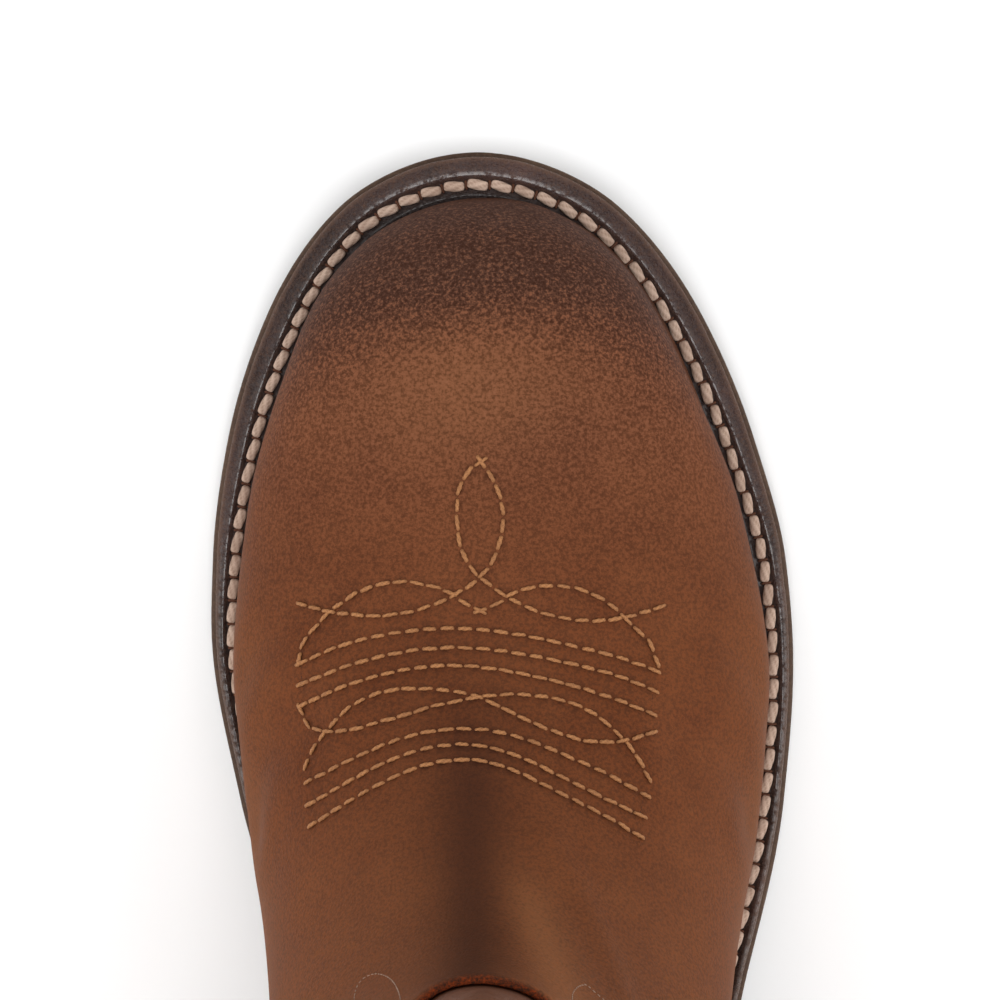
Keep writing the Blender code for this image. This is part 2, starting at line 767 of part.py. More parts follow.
def build_strap(name, side, colour):
    """A pull strap: down the outside, up over the collar in a loop, and down the inside."""
    columns = np.linspace(-1, 1, 5)
    depth = front_to_back(1.0)
    places = SEAM_PLACE + columns * STRAP_WIDTH / 2 / depth
    clear_of_binding = 2 * CLEARANCE + BINDING_WALL
    outside = OVERLAY_WALL + CLEARANCE
    bottom = level_at_height(SEAM_PLACE, side, strap_bottom(side))
    edge_height = collar_height_at(SEAM_PLACE, side) - BINDING_DEPTH - STRAP_BELOW_BINDING
    edge = level_at_height(SEAM_PLACE, side, edge_height)
    levels = np.array([bottom, (bottom + edge) / 2, edge, 1.0])
    near = np.array([CLEARANCE, CLEARANCE, clear_of_binding, clear_of_binding])
    middle, normal, up = collar_frame(places, side * np.ones(len(places)))
    wall_middle = UPPER_WALL / 2 + clear_of_binding + STRAP_WALL / 2
    loop = STRAP_LOOP_GAP / 2 + STRAP_WALL / 2

    def half_path(sign):
        """Middle line of one leg, from its lower end to the collar."""
        rows = []
        for level, off in zip(levels, near):
            distance = off + STRAP_WALL / 2
            inward = outside - distance if sign > 0 else outside + UPPER_WALL + distance
            rows.append(boot_layer(places, level, side, inward * np.ones(len(places))))
        rows.append(middle + normal * sign * (wall_middle + STRAP_LOOP_BULGE) + up * STRAP_LOOP_RISE * 0.45)
        return rows

    arc = []
    for turn in np.linspace(0, math.pi, 7):
        out, rise = loop * math.cos(turn), loop * math.sin(turn)
        arc.append(middle + normal * out + up * (STRAP_LOOP_RISE - loop + rise))
    path = np.array(half_path(1.0) + arc + half_path(-1.0)[::-1])
    tangent = np.gradient(path, axis=0)
    across = np.gradient(path, axis=1)
    out = np.cross(across, tangent) * side
    out /= np.linalg.norm(out, axis=-1, keepdims=True)
    one, other = path + out * STRAP_WALL / 2, path - out * STRAP_WALL / 2
    grid = np.concatenate([one, other[:, ::-1]], axis=1)
    return skin(new_part(name, colour, 0.5), grid, close_around=True, close_along=False)


LEATHER = (0.155, 0.058, 0.024)
DARK_LEATHER = (0.035, 0.020, 0.015)
LINING = (0.36, 0.22, 0.12)
RUBBER = (0.022, 0.016, 0.013)


def main():
    """Clears the file and builds every piece."""
    for obj in list(bpy.data.objects):
        bpy.data.objects.remove(obj)
    build_outsole(RUBBER)
    build_welt(DARK_LEATHER)
    build_heel_stack(DARK_LEATHER)
    build_heel_cap(RUBBER)
    build_insole(LINING)
    build_upper(LEATHER)
    build_vamp(LEATHER)
    build_counter(LEATHER)
    build_binding(DARK_LEATHER)
    for side, word in ((1.0, "medial"), (-1.0, "lateral")):
        build_piping("side_piping_" + word, side, DARK_LEATHER)
        build_strap("pull_strap_" + word, side, LEATHER)


main()
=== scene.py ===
"""The looks of a worn brown cowboy boot for the right foot, seen from straight above its toe.

The boot's form is worked out from the same named sizes as its solids. Each sub-assembly is a class that holds its
sizes, builds its meshes and dresses them. Lengths are in metres; the toe points along -Y and the inner side of the
foot is +X. A place on the boot is given by its ring level (0 at the feather edge, 1 at the collar) and its turn
round the boot, which is 0 at the front, 1 (or -1) at the back, and positive on the inner side of the foot.
"""

import logging
import math
from collections.abc import Callable, Sequence
from dataclasses import dataclass, field
from enum import Enum
from functools import cached_property
from typing import ClassVar

import bpy
import numpy as np
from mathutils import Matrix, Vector
from mathutils.bvhtree import BVHTree
from mathutils.kdtree import KDTree

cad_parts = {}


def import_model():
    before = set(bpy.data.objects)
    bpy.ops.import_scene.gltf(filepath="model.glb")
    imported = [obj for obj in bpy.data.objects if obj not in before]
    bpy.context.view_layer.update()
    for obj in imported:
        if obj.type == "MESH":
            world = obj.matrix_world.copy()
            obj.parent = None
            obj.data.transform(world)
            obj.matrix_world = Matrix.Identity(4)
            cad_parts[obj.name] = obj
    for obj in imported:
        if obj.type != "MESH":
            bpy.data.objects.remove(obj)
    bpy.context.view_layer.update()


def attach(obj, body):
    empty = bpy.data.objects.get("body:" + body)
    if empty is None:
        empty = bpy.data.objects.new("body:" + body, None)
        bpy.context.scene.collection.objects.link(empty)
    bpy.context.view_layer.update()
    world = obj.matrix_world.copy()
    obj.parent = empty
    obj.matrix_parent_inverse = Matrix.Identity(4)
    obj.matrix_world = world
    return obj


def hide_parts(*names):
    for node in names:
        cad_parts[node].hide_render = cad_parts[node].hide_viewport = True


LOG = logging.getLogger("boot")
Colour = tuple[float, float, float]
Table = tuple[tuple[float, ...], ...]
BODY = "root"


def srgb(red: int, green: int, blue: int) -> Colour:
    """A colour given as it looks on a screen (0 to 255), as the linear values that a shader takes."""

    def linear(value: int) -> float:
        share = value / 255
        return share / 12.92 if share <= 0.04045 else ((share + 0.055) / 1.055) ** 2.4

    return linear(red), linear(green), linear(blue)


def smooth_through(xs: np.ndarray, ys: np.ndarray, x: np.ndarray) -> np.ndarray:
    """A smooth curve through given points that never overshoots between two of them.

    Args:
        xs: Where the points lie, in any order.
        ys: Their values.
        x: Where the curve is wanted.

    Returns:
        The curve's values at x, held at the end values outside the points.
    """
    order = np.argsort(xs)
    xs, ys = np.asarray(xs, float)[order], np.asarray(ys, float)[order]
    x = np.clip(np.asarray(x, float), xs[0], xs[-1])
    step = np.diff(xs)
    slope = np.diff(ys) / step
    before, after = slope[:-1], slope[1:]
    weight_one, weight_two = 2 * step[1:] + step[:-1], step[1:] + 2 * step[:-1]
    harmonic = 3 * (step[:-1] + step[1:]) / (
        weight_one / np.where(before == 0, 1, before) + weight_two / np.where(after == 0, 1, after)
    )
    tangent = np.concatenate([[slope[0]], np.where(before * after > 0, harmonic, 0.0), [slope[-1]]])
    i = np.clip(np.searchsorted(xs, x, side="right") - 1, 0, len(step) - 1)
    u = (x - xs[i]) / step[i]
    return (
        (1 + 2 * u) * (1 - u) ** 2 * ys[i]
        + u * (1 - u) ** 2 * step[i] * tangent[i]
        + u * u * (3 - 2 * u) * ys[i + 1]
        + u * u * (u - 1) * step[i] * tangent[i + 1]
    )


def table_curve(table: Table, column: int, x: np.ndarray) -> np.ndarray:
    """A smooth curve through one column of a table whose first column is where the rows lie."""
    rows = np.asarray(table, float)
    return smooth_through(rows[:, 0], rows[:, column], x)


def smooth_step(low: float, high: float, x: np.ndarray) -> np.ndarray:
    """0 below low, 1 above high and an S curve between."""
    u = np.clip((np.asarray(x, float) - low) / (high - low), 0, 1)
    return u * u * (3 - 2 * u)


def smooth_path(points: Sequence[Sequence[float]], count: int, closed: bool = False) -> np.ndarray:
    """Evenly spaced points along a smooth curve through the given ones.

    Args:
        points: The points that the curve passes through.
        count: How many points to give back.
        closed: Whether the curve runs on from the last point to the first.

    Returns:
        An array of count points.
    """
    given = np.asarray(points, float)
    if closed:
        given = np.concatenate([given[-3:], given, given[:3]])
    chord = np.concatenate([[0], np.cumsum(np.sqrt(np.linalg.norm(np.diff(given, axis=0), axis=1)))])
    low, high = (chord[3], chord[-3]) if closed else (chord[0], chord[-1])
    before = np.gradient(given, chord, axis=0)
    at = np.linspace(low, high, 30 * count)
    i = np.clip(np.searchsorted(chord, at, side="right") - 1, 0, len(chord) - 2)
    step = (chord[i + 1] - chord[i])[:, None]
    u = (at[:, None] - chord[i][:, None]) / step
    dense = (
        (1 + 2 * u) * (1 - u) ** 2 * given[i]
        + u * (1 - u) ** 2 * step * before[i]
        + u * u * (3 - 2 * u) * given[i + 1]
        + u * u * (u - 1) * step * before[i + 1]
    )
    run = np.concatenate([[0], np.cumsum(np.linalg.norm(np.diff(dense, axis=0), axis=1))])
    even = np.linspace(0, run[-1], count, endpoint=not closed)
    return np.stack([np.interp(even, run, dense[:, k]) for k in range(dense.shape[1])], axis=1)


def unit(vectors: np.ndarray) -> np.ndarray:
    """The same directions with length 1."""
    return vectors / np.maximum(np.linalg.norm(vectors, axis=-1, keepdims=True), 1e-12)


@dataclass(frozen=True)
class BootForm:
    """The boot's form, from named sizes and short tables of shares of them, as in the solids."""

    sole_length: float = 0.282
    ball_width: float = 0.1085
    outsole: float = 0.0055
    welt: float = 0.0035
    toe_spring: float = 0.010
    heel_height: float = 0.0285
    heel_length: float = 0.072
    heel_cap: float = 0.0065
    heel_taper: float = 0.0030
    heel_lean: float = 0.0050
    breast_hollow: float = 0.004
    insole: float = 0.0030
    upper_width: float = 0.097
    wall: float = 0.0020
    overlay: float = 0.0018
    throat_height: float = 0.147
    collar_front: float = 0.262
    collar_back: float = 0.266
    collar_side: float = 0.298
    ankle_width: float = 0.080
    collar_width: float = 0.098
    feather_scale: float = 0.885
    feather_back: float = 0.0037
    feather_margin: float = 0.0085
    feather_turn: float = 0.0018
    clearance: float = 0.0003
    feather_gap: float = 0.0005
    welt_setback: float = 0.0009
    ridge_top: float = 0.80
    ridge_bend: float = 250.0

    # along (share of the sole's length), heel (share of the heel's height), toe (share of the toe spring)
    SOLE_LINE: ClassVar[Table] = (
        (0.000, 1.00, 0.00), (0.255, 0.90, 0.00), (0.370, 0.66, 0.00), (0.480, 0.23, 0.00),
        (0.585, 0.00, 0.00), (0.740, 0.00, 0.00), (0.870, 0.00, 0.26), (1.000, 0.00, 1.00),
    )
    # along, centre, half (shares of the ball width)
    SOLE_OUTLINE: ClassVar[Table] = (
        (0.000, 0.000, 0.000), (0.050, 0.000, 0.240), (0.120, 0.000, 0.297), (0.270, -0.022, 0.306),
        (0.430, -0.066, 0.367), (0.574, -0.048, 0.468), (0.680, -0.031, 0.500), (0.732, -0.026, 0.493),
        (0.811, -0.012, 0.453), (0.890, -0.001, 0.378), (0.965, 0.008, 0.238), (1.000, 0.011, 0.000),
    )
    # along, centre, half (shares of the upper's width)
    UPPER_OUTLINE: ClassVar[Table] = (
        (0.000, 0.000, 0.000), (0.040, 0.000, 0.245), (0.120, 0.000, 0.345), (0.270, -0.008, 0.378),
        (0.455, -0.032, 0.436), (0.554, -0.037, 0.478), (0.657, -0.033, 0.506), (0.760, -0.020, 0.469),
        (0.852, -0.003, 0.381), (0.905, 0.003, 0.309), (0.941, 0.003, 0.219), (0.970, -0.006, 0.000),
    )
    # along, rise (share of the height from the toe's feather edge to the throat)
    RIDGE: ClassVar[Table] = (
        (0.970, 0.000), (0.9655, 0.085), (0.948, 0.175), (0.915, 0.240), (0.858, 0.285), (0.770, 0.318),
        (0.681, 0.365), (0.612, 0.440), (0.558, 0.545), (0.512, 0.680), (0.4875, 0.840), (0.4795, 1.000),
    )
    # along, rise (share of the height from the throat to the collar)
    SHAFT_FRONT: ClassVar[Table] = ((0.4785, 0.300), (0.482, 0.650), (0.489, 1.000))
    # along, rise (share of the height from the heel's feather edge to the collar)
    BACK_LINE: ClassVar[Table] = (
        (0.0131, 0.00), (0.0020, 0.06), (0.0040, 0.13), (0.0200, 0.22), (0.0380, 0.31),
        (0.0450, 0.40), (0.0440, 0.52), (0.0350, 0.67), (0.0230, 0.84), (0.0150, 1.00),
    )
    # along, fullness
    RIDGE_FULLNESS: ClassVar[Table] = (
        (0.380, 1.03), (0.480, 1.10), (0.560, 1.35), (0.640, 1.75), (0.760, 2.20), (0.880, 2.45), (0.970, 2.30),
    )
    # level, back (share of the back line's rise), keep (share of the sole's curve), sag (share of the throat height)
    RINGS: ClassVar[Table] = (
        (0.00, 0.000, 1.00, 0.000), (0.15, 0.040, 0.75, 0.085), (0.30, 0.130, 0.48, 0.120),
        (0.45, 0.255, 0.20, 0.180), (0.60, 0.420, 0.00, 0.170), (0.75, 0.610, 0.00, 0.085),
        (0.90, 0.850, 0.00, -0.070), (1.00, 1.000, 0.00, -0.232),
    )
    # place, level of the overlays' top edge
    OVERLAY_TOP: ClassVar[Table] = (
        (0.000, 0.611), (0.015, 0.615), (0.035, 0.625), (0.060, 0.630), (0.090, 0.612), (0.125, 0.575),
        (0.160, 0.548), (0.30, 0.500), (0.46, 0.470), (0.64, 0.452), (0.76, 0.458), (0.90, 0.492), (1.00, 0.515),
    )
    JOIN_TURN: ClassVar[float] = 14 / 24
    SEAM_TURN: ClassVar[float] = 0.5

    @property
    def toe(self) -> float:
        """Forward place of the toe's feather edge."""
        return self.sole_length - self.feather_margin

    @property
    def depth_of_upper(self) -> float:
        """How deep the upper's outer skin lies under the overlays' outer skin."""
        return self.overlay + self.clearance

    def y_of(self, forward: np.ndarray) -> np.ndarray:
        """The Y of a place measured forward from the back of the sole."""
        return self.heel_length / 2 - forward

    @staticmethod
    def fuller(fullness: np.ndarray, x: np.ndarray) -> np.ndarray:
        """Square of a section's half width, from 0 at its nose (x = 0) to 1 at its widest (x = 1)."""
        x = np.clip(x, 0, 1)
        return fullness * x + (3 - 2 * fullness) * x**2 + (fullness - 2) * x**3

    @staticmethod
    def outline(table: Table, scale: float, along: np.ndarray) -> tuple[np.ndarray, np.ndarray]:
        """Centre and half width of an outline with round ends, at shares of its length."""
        rows = np.asarray(table, float)
        squared = smooth_through(rows[:, 0], rows[:, 2] ** 2, along)
        return table_curve(table, 1, along) * scale, np.sqrt(np.clip(squared, 0, None)) * scale

    def underside(self, forward: np.ndarray) -> np.ndarray:
        """Height of the outsole's underside."""
        share = np.asarray(forward, float) / self.sole_length
        rows = np.asarray(self.SOLE_LINE, float)
        return smooth_through(rows[:, 0], rows[:, 1] * self.heel_height + rows[:, 2] * self.toe_spring, share)

    def outsole_top(self, forward: np.ndarray) -> np.ndarray:
        """Height of the outsole's upper face."""
        return self.underside(forward) + self.outsole

    def welt_top(self, forward: np.ndarray) -> np.ndarray:
        """Height of the welt's upper face."""
        return self.outsole_top(forward) + self.clearance + self.welt

    def feather_line(self, forward: np.ndarray) -> np.ndarray:
        """Height of the upper's bottom edge."""
        return self.welt_top(forward) + self.feather_gap

    def feather_width(self, share: np.ndarray) -> tuple[np.ndarray, np.ndarray]:
        """Centre and half width of the upper's bottom edge."""
        centre, half = self.outline(self.SOLE_OUTLINE, self.ball_width, np.clip(share, 0, 1))
        return centre - self.feather_turn * smooth_step(0.84, 1.0, share), half * self.feather_scale

    @cached_property
    def front(self) -> np.ndarray:
        """Points (forward, height) up the toe, over the ridge and up the front of the shaft."""
        low = float(self.feather_line(self.toe))
        reach = self.toe / self.RIDGE[0][0]
        foot = [(a * reach, low + r * (self.throat_height - low)) for a, r in self.RIDGE]
        rise = self.collar_front - self.throat_height
        shaft = [(a * reach, self.throat_height + r * rise) for a, r in self.SHAFT_FRONT]
        return self.profile(foot + shaft)

    @cached_property
    def heel_level(self) -> float:
        """Height of the heel's feather edge."""
        return float(self.feather_line(self.feather_back))

    @cached_property
    def back(self) -> np.ndarray:
        """Points (forward, height) up the back of the boot."""
        rise = self.collar_back - self.heel_level
        return self.profile([(a * self.sole_length, self.heel_level + r * rise) for a, r in self.BACK_LINE])

    @staticmethod
    def profile(points: list[tuple[float, float]]) -> np.ndarray:
        """A dense profile through points, that never overshoots."""
        given = np.asarray(points, float)
        chord = np.concatenate([[0], np.cumsum(np.sqrt(np.linalg.norm(np.diff(given, axis=0), axis=1)))])
        at = np.linspace(0, chord[-1], 60000)
        dense = np.stack([smooth_through(chord, given[:, k], at) for k in range(2)], axis=1)
        run = np.concatenate([[0], np.cumsum(np.linalg.norm(np.diff(dense, axis=0), axis=1))])
        even = np.linspace(0, run[-1], 1500)
        return np.stack([np.interp(even, run, dense[:, k]) for k in range(2)], axis=1)

    def ridge_height(self, forward: np.ndarray) -> np.ndarray:
        """Height of the ridge over a place on the foot, and very high behind the throat."""
        line = self.front[:int(np.searchsorted(self.front[:, 1], self.ridge_top * self.throat_height))]
        height = np.interp(-np.asarray(forward, float), -line[:, 0], line[:, 1])
        slope = (line[-1, 1] - line[-12, 1]) / (line[-12, 0] - line[-1, 0])
        behind = np.clip(line[-1, 0] - forward, 0, None)
        return height + slope * behind + self.ridge_bend * behind**2

    def foot_half(self, forward: np.ndarray, height: np.ndarray, side: np.ndarray) -> tuple[np.ndarray, np.ndarray]:
        """Half width of the foot part, and how far its middle lies to the inner side."""
        floor = self.feather_line(forward)
        ridge = self.ridge_height(forward)
        widest = floor + np.minimum(0.36 * (ridge - floor), 0.021)
        back = np.interp(height, self.back[:, 1], self.back[:, 0])
        share = np.clip((forward - back) / (self.toe - back), 0, 1)
        span = self.UPPER_OUTLINE[-1][0]
        centre, half = self.outline(self.UPPER_OUTLINE, self.upper_width, share * span)
        middle = centre * smooth_step(0.62, 1.0, forward / self.toe) ** 2
        full = half + side * (centre - middle)
        edge_centre, edge_half = self.feather_width(share)
        edge = edge_half + side * (edge_centre - middle)
        up = np.clip((height - floor) / (widest - floor + 1e-9), 0, 1)
        low = edge + (full - edge) * (1 - (1 - up) ** 2)
        fullness = table_curve(self.RIDGE_FULLNESS, 1, forward / self.toe * span)
        below = (ridge - height) / (ridge - widest + 1e-9)
        high = full * np.sqrt(self.fuller(fullness, below))
        return np.where(height < widest, low, high), middle

    def shaft_half(self, forward: np.ndarray, height: np.ndarray) -> np.ndarray:
        """Half width of the shaft's oval."""
        front = np.interp(height, self.front[:, 1], self.front[:, 0])
        back = np.interp(height, self.back[:, 1], self.back[:, 0])
        up = np.clip((height - self.throat_height) / (self.collar_side - self.throat_height), 0, 1)
        half = (self.ankle_width + (self.collar_width - self.ankle_width) * up) / 2
        ahead = (front - forward) / (0.55 * (front - back))
        behind = (forward - back) / (0.45 * (front - back))
        squared = np.where(ahead < 1, self.fuller(1.05 + 0.70 * up, ahead), self.fuller(2.0, behind))
        return half * np.sqrt(np.clip(squared, 0, None))

    def surface(self, turn: np.ndarray, level: np.ndarray) -> np.ndarray:
        """Points on the boot's outermost surface.

        Args:
            turn: Turns round the boot, which may run a little past 1 or -1.
            level: Ring levels.

        Returns:
            Points in an array with one more axis than turn and level.
        """
        turn, level = np.broadcast_arrays(np.asarray(turn, float), np.asarray(level, float))
        turn = np.where(turn > 1, turn - 2, np.where(turn < -1, turn + 2, turn))
        side = np.where(turn < 0, -1.0, 1.0)
        place = (1 - np.cos(np.pi * turn)) / 2
        back_share, keep, sag = (table_curve(self.RINGS, k, level) for k in (1, 2, 3))
        at = np.linspace(0, 1, len(self.front))
        front_forward = np.interp(level, at, self.front[:, 0])
        front_height = np.interp(level, at, self.front[:, 1])
        back_height = self.heel_level + back_share * (self.collar_back - self.heel_level)
        back_forward = np.interp(back_height, self.back[:, 1], self.back[:, 0])
        forward = front_forward + (back_forward - front_forward) * place
        front_line, back_line = self.feather_line(front_forward), self.feather_line(back_forward)
        foot_sag = 6.75 * place * (1 - place) ** 2
        wave = foot_sag + (np.sin(np.pi * place) ** 1.6 - foot_sag) * smooth_step(0.62, 0.92, level)
        height = (
            front_height + (back_height - front_height) * place
            + keep * (self.feather_line(forward) - front_line - (back_line - front_line) * place)
            - sag * self.throat_height * wave
        )
        foot, middle = self.foot_half(forward, height, side)
        shaft = self.shaft_half(forward, height)
        turned = smooth_step(0.40 * self.throat_height, 0.96 * self.throat_height, height)
        half = np.where((place <= 1e-12) | (place >= 1 - 1e-12), 0.0, foot + (shaft - foot) * turned)
        return np.stack([middle * (1 - turned) + side * half, self.y_of(forward), height], axis=-1)

    def normal(self, turn: np.ndarray, level: np.ndarray) -> np.ndarray:
        """Outward normals of the outermost surface, level at the feather edge."""
        turn, level = np.broadcast_arrays(np.asarray(turn, float), np.asarray(level, float))
        small = 0.004
        rise = self.surface(turn, np.clip(level + small, 0, 1)) - self.surface(turn, np.clip(level - small, 0, 1))
        along = self.surface(turn + small, level) - self.surface(turn - small, level)
        normal = np.cross(along, rise)
        normal[..., 2] *= smooth_step(0.0, 0.03, level)
        return unit(normal)

    def overlay_top(self, turn: np.ndarray) -> np.ndarray:
        """Ring level of the overlays' top edge."""
        return table_curve(self.OVERLAY_TOP, 1, (1 - np.cos(np.pi * np.asarray(turn, float))) / 2)

    def sole_ring(self, count: int) -> tuple[np.ndarray, np.ndarray]:
        """Points round the sole's outline and their outward normals, both in plan.

        Args:
            count: How many points, starting at the toe and running down the outer side.

        Returns:
            Points (X, Y) and unit normals (X, Y), evenly spaced round the outline.
        """
        turn = np.linspace(0, 2 * np.pi, 4001)[:-1]
        share = (1 + np.cos(turn)) / 2
        centre, half = self.outline(self.SOLE_OUTLINE, self.ball_width, share)
        across = centre - np.sign(np.sin(turn)) * half
        ring = np.stack([across, self.y_of(share * self.sole_length)], axis=1)
        run = np.concatenate([[0], np.cumsum(np.linalg.norm(np.diff(ring, axis=0, append=ring[:1]), axis=1))])
        even = np.linspace(0, run[-1], count, endpoint=False)
        looped = np.concatenate([ring, ring[:1]])
        points = np.stack([np.interp(even, run, looped[:, k]) for k in range(2)], axis=1)
        for _ in range(2):
            points = (np.roll(points, 1, axis=0) + 2 * points + np.roll(points, -1, axis=0)) / 4
        along = unit(np.roll(points, -1, axis=0) - np.roll(points, 1, axis=0))
        normals = np.stack([along[:, 1], -along[:, 0]], axis=1)
        outward = np.sign(np.sum(normals * (points - points.mean(axis=0)), axis=1).mean())
        return points, normals * outward


FORM = BootForm()


@dataclass(frozen=True)
class PhotoView:
    """The photograph's camera: straight above the forefoot with the toe away, and how it sees the boot."""

    height: float = 1.600
    across: float = -0.00295
    forward: float = 0.2175
    pixels_per_metre: float = 5380.0
    at_height: float = 0.012
    frame: int = 1000
    sensor: float = 36.0

    @property
    def scale(self) -> float:
        """Pixels for a slope of 1 to the camera's axis."""
        return self.pixels_per_metre * (self.height - self.at_height)

    @property
    def place(self) -> Vector:
        """Where the camera stands."""
        return Vector((self.across, float(FORM.y_of(self.forward)), self.height))

    def make(self) -> bpy.types.Object:
        """Makes the camera and gives it to the scene."""
        data = bpy.data.cameras.new("photo_camera")
        data.sensor_width = self.sensor
        data.lens = self.sensor * self.scale / self.frame
        data.clip_start, data.clip_end = 0.05, 20.0
        camera = bpy.data.objects.new("photo_camera", data)
        camera.location = self.place
        camera.rotation_euler = (0.0, 0.0, math.pi)
        bpy.context.scene.collection.objects.link(camera)
        bpy.context.scene.camera = camera
        return camera

    def onto(self, tree: BVHTree, pixels: np.ndarray) -> tuple[np.ndarray, np.ndarray]:
        """Lays picture points on a surface.

        Args:
            tree: The surface.
            pixels: Points (x, y) of the photograph.

        Returns:
            The points on the surface that lie behind them, and the surface's normals there.
        """
        points, normals = [], []
        for x, y in pixels:
            ray = Vector((-(x - self.frame / 2) / self.scale, (y - self.frame / 2) / self.scale, -1.0)).normalized()
            point, normal, _, _ = tree.ray_cast(self.place, ray)
            if point is not None:
                points.append(point[:])
                normals.append((normal if normal.z > 0 else -normal)[:])
        return np.array(points), np.array(normals)


VIEW = PhotoView()


def add_mesh(
    name: str,
    points: np.ndarray,
    faces: list[Sequence[int]],
    attributes: dict[str, np.ndarray] | None = None,
) -> bpy.types.Object:
    """Makes a smooth mesh object at the origin.

    Args:
        name: The object's name.
        points: Its points.
        faces: Corner numbers of each face.
        attributes: Values for each point, by attribute name.

    Returns:
        The new object.
    """
    mesh = bpy.data.meshes.new(name)
    mesh.from_pydata(np.asarray(points, float).reshape(-1, 3).tolist(), [], [list(face) for face in faces])
    for key, values in (attributes or {}).items():
        mesh.attributes.new(key, "FLOAT", "POINT").data.foreach_set("value", np.asarray(values, np.float32).ravel())
    mesh.shade_smooth()
    mesh.update()
    obj = bpy.data.objects.new(name, mesh)
    bpy.context.scene.collection.objects.link(obj)
    return obj


def ring_faces(rows: int, columns: int, closed_rows: bool, closed_columns: bool) -> list[tuple[int, int, int, int]]:
    """Quads of a grid of points numbered row by row.

    Args:
        rows: How many rows.
        columns: How many points in a row.
        closed_rows: Whether the last row joins the first.
        closed_columns: Whether a row's last point joins its first.

    Returns:
        The corner numbers of each quad.
    """
    faces = []
    for i in range(rows if closed_rows else rows - 1):
        low, high = i * columns, (i + 1) % rows * columns
        for j in range(columns if closed_columns else columns - 1):
            k = (j + 1) % columns
            faces.append((low + j, low + k, high + k, high + j))
    return faces


def face_out(obj: bpy.types.Object) -> bpy.types.Object:
    """Turns a closed mesh's faces outwards, by the sign of the volume that they hold."""
    mesh = obj.data
    mesh.calc_loop_triangles()
    points = np.empty(len(mesh.vertices) * 3)
    mesh.vertices.foreach_get("co", points)
    corners = np.empty(len(mesh.loop_triangles) * 3, int)
    mesh.loop_triangles.foreach_get("vertices", corners)
    a, b, c = points.reshape(-1, 3)[corners.reshape(-1, 3)].transpose(1, 0, 2)
    if np.sum(a * np.cross(b, c)) < 0:
        mesh.flip_normals()
    return obj


class Socket(str, Enum):
    """The Principled shader's sockets that finishes use."""

    COLOUR = "Base Color"
    ROUGH = "Roughness"
    NORMAL = "Normal"


class Nodes:
    """A short way to write a node tree: nodes are placed, given values and joined in one call."""

    def __init__(self, tree: bpy.types.NodeTree) -> None:
        """Keeps the tree."""
        self.tree = tree
        self.placed = 0

    def add(self, kind: str, **settings: object) -> bpy.types.Node:
        """Adds a node.

        Args:
            kind: The node's type name.
            **settings: Its properties.

        Returns:
            The node.
        """
        node = self.tree.nodes.new(kind)
        node.location = (220 * (self.placed % 9), -260 * (self.placed // 9))
        self.placed += 1
        for key, value in settings.items():
            setattr(node, key, value)
        return node

    def feed(self, node: bpy.types.Node, **inputs: object) -> bpy.types.Node:
        """Feeds a node's inputs by name (spaces as underscores), from sockets or values."""
        for key, value in inputs.items():
            socket = node.inputs[int(key[1:])] if key[0] == "i" and key[1:].isdigit() else node.inputs[key.replace("_", " ")]
            if isinstance(value, bpy.types.NodeSocket):
                self.tree.links.new(value, socket)
            else:
                socket.default_value = value
        return node

    def math(self, operation: str, one: object, two: object = 0.0, clamp: bool = False) -> bpy.types.NodeSocket:
        """A sum of two numbers or sockets."""
        node = self.add("ShaderNodeMath", operation=operation, use_clamp=clamp)
        return self.feed(node, i0=one, i1=two).outputs[0]

    def mix(self, share: object, one: object, two: object, kind: str = "MIX") -> bpy.types.NodeSocket:
        """A mix of two colours."""
        node = self.add("ShaderNodeMix", data_type="RGBA", blend_type=kind)
        return self.feed(node, i0=share, i6=self.rgba(one), i7=self.rgba(two)).outputs[2]

    def ramp(self, value: object, low: float, high: float, start: float = 0.0, end: float = 1.0) -> bpy.types.NodeSocket:
        """A value spread from one range to another and held at its ends."""
        node = self.add("ShaderNodeMapRange", clamp=True)
        return self.feed(node, i0=value, i1=low, i2=high, i3=start, i4=end).outputs[0]

    def noise(self, where: object, scale: float, detail: float = 4.0, rough: float = 0.55) -> bpy.types.NodeSocket:
        """Cloudy noise between 0 and 1."""
        node = self.add("ShaderNodeTexNoise")
        return self.feed(node, Vector=where, Scale=scale, Detail=detail, Roughness=rough).outputs[0]

    def cells(self, where: object, scale: float, feature: str = "F1", output: str = "Distance") -> bpy.types.NodeSocket:
        """Cell noise."""
        node = self.add("ShaderNodeTexVoronoi", feature=feature)
        return self.feed(node, Vector=where, Scale=scale).outputs[output]

    def stretch(self, where: object, size: tuple[float, float, float]) -> bpy.types.NodeSocket:
        """Coordinates drawn out along the axes."""
        node = self.add("ShaderNodeMapping")
        return self.feed(node, Vector=where, Scale=size).outputs[0]

    def attribute(self, name: str) -> bpy.types.NodeSocket:
        """A value stored on the mesh's points."""
        return self.add("ShaderNodeAttribute", attribute_name=name).outputs["Fac"]

    @staticmethod
    def rgba(value: object) -> object:
        """A colour with its alpha, where it has none."""
        return (*value, 1.0) if isinstance(value, tuple) and len(value) == 3 else value


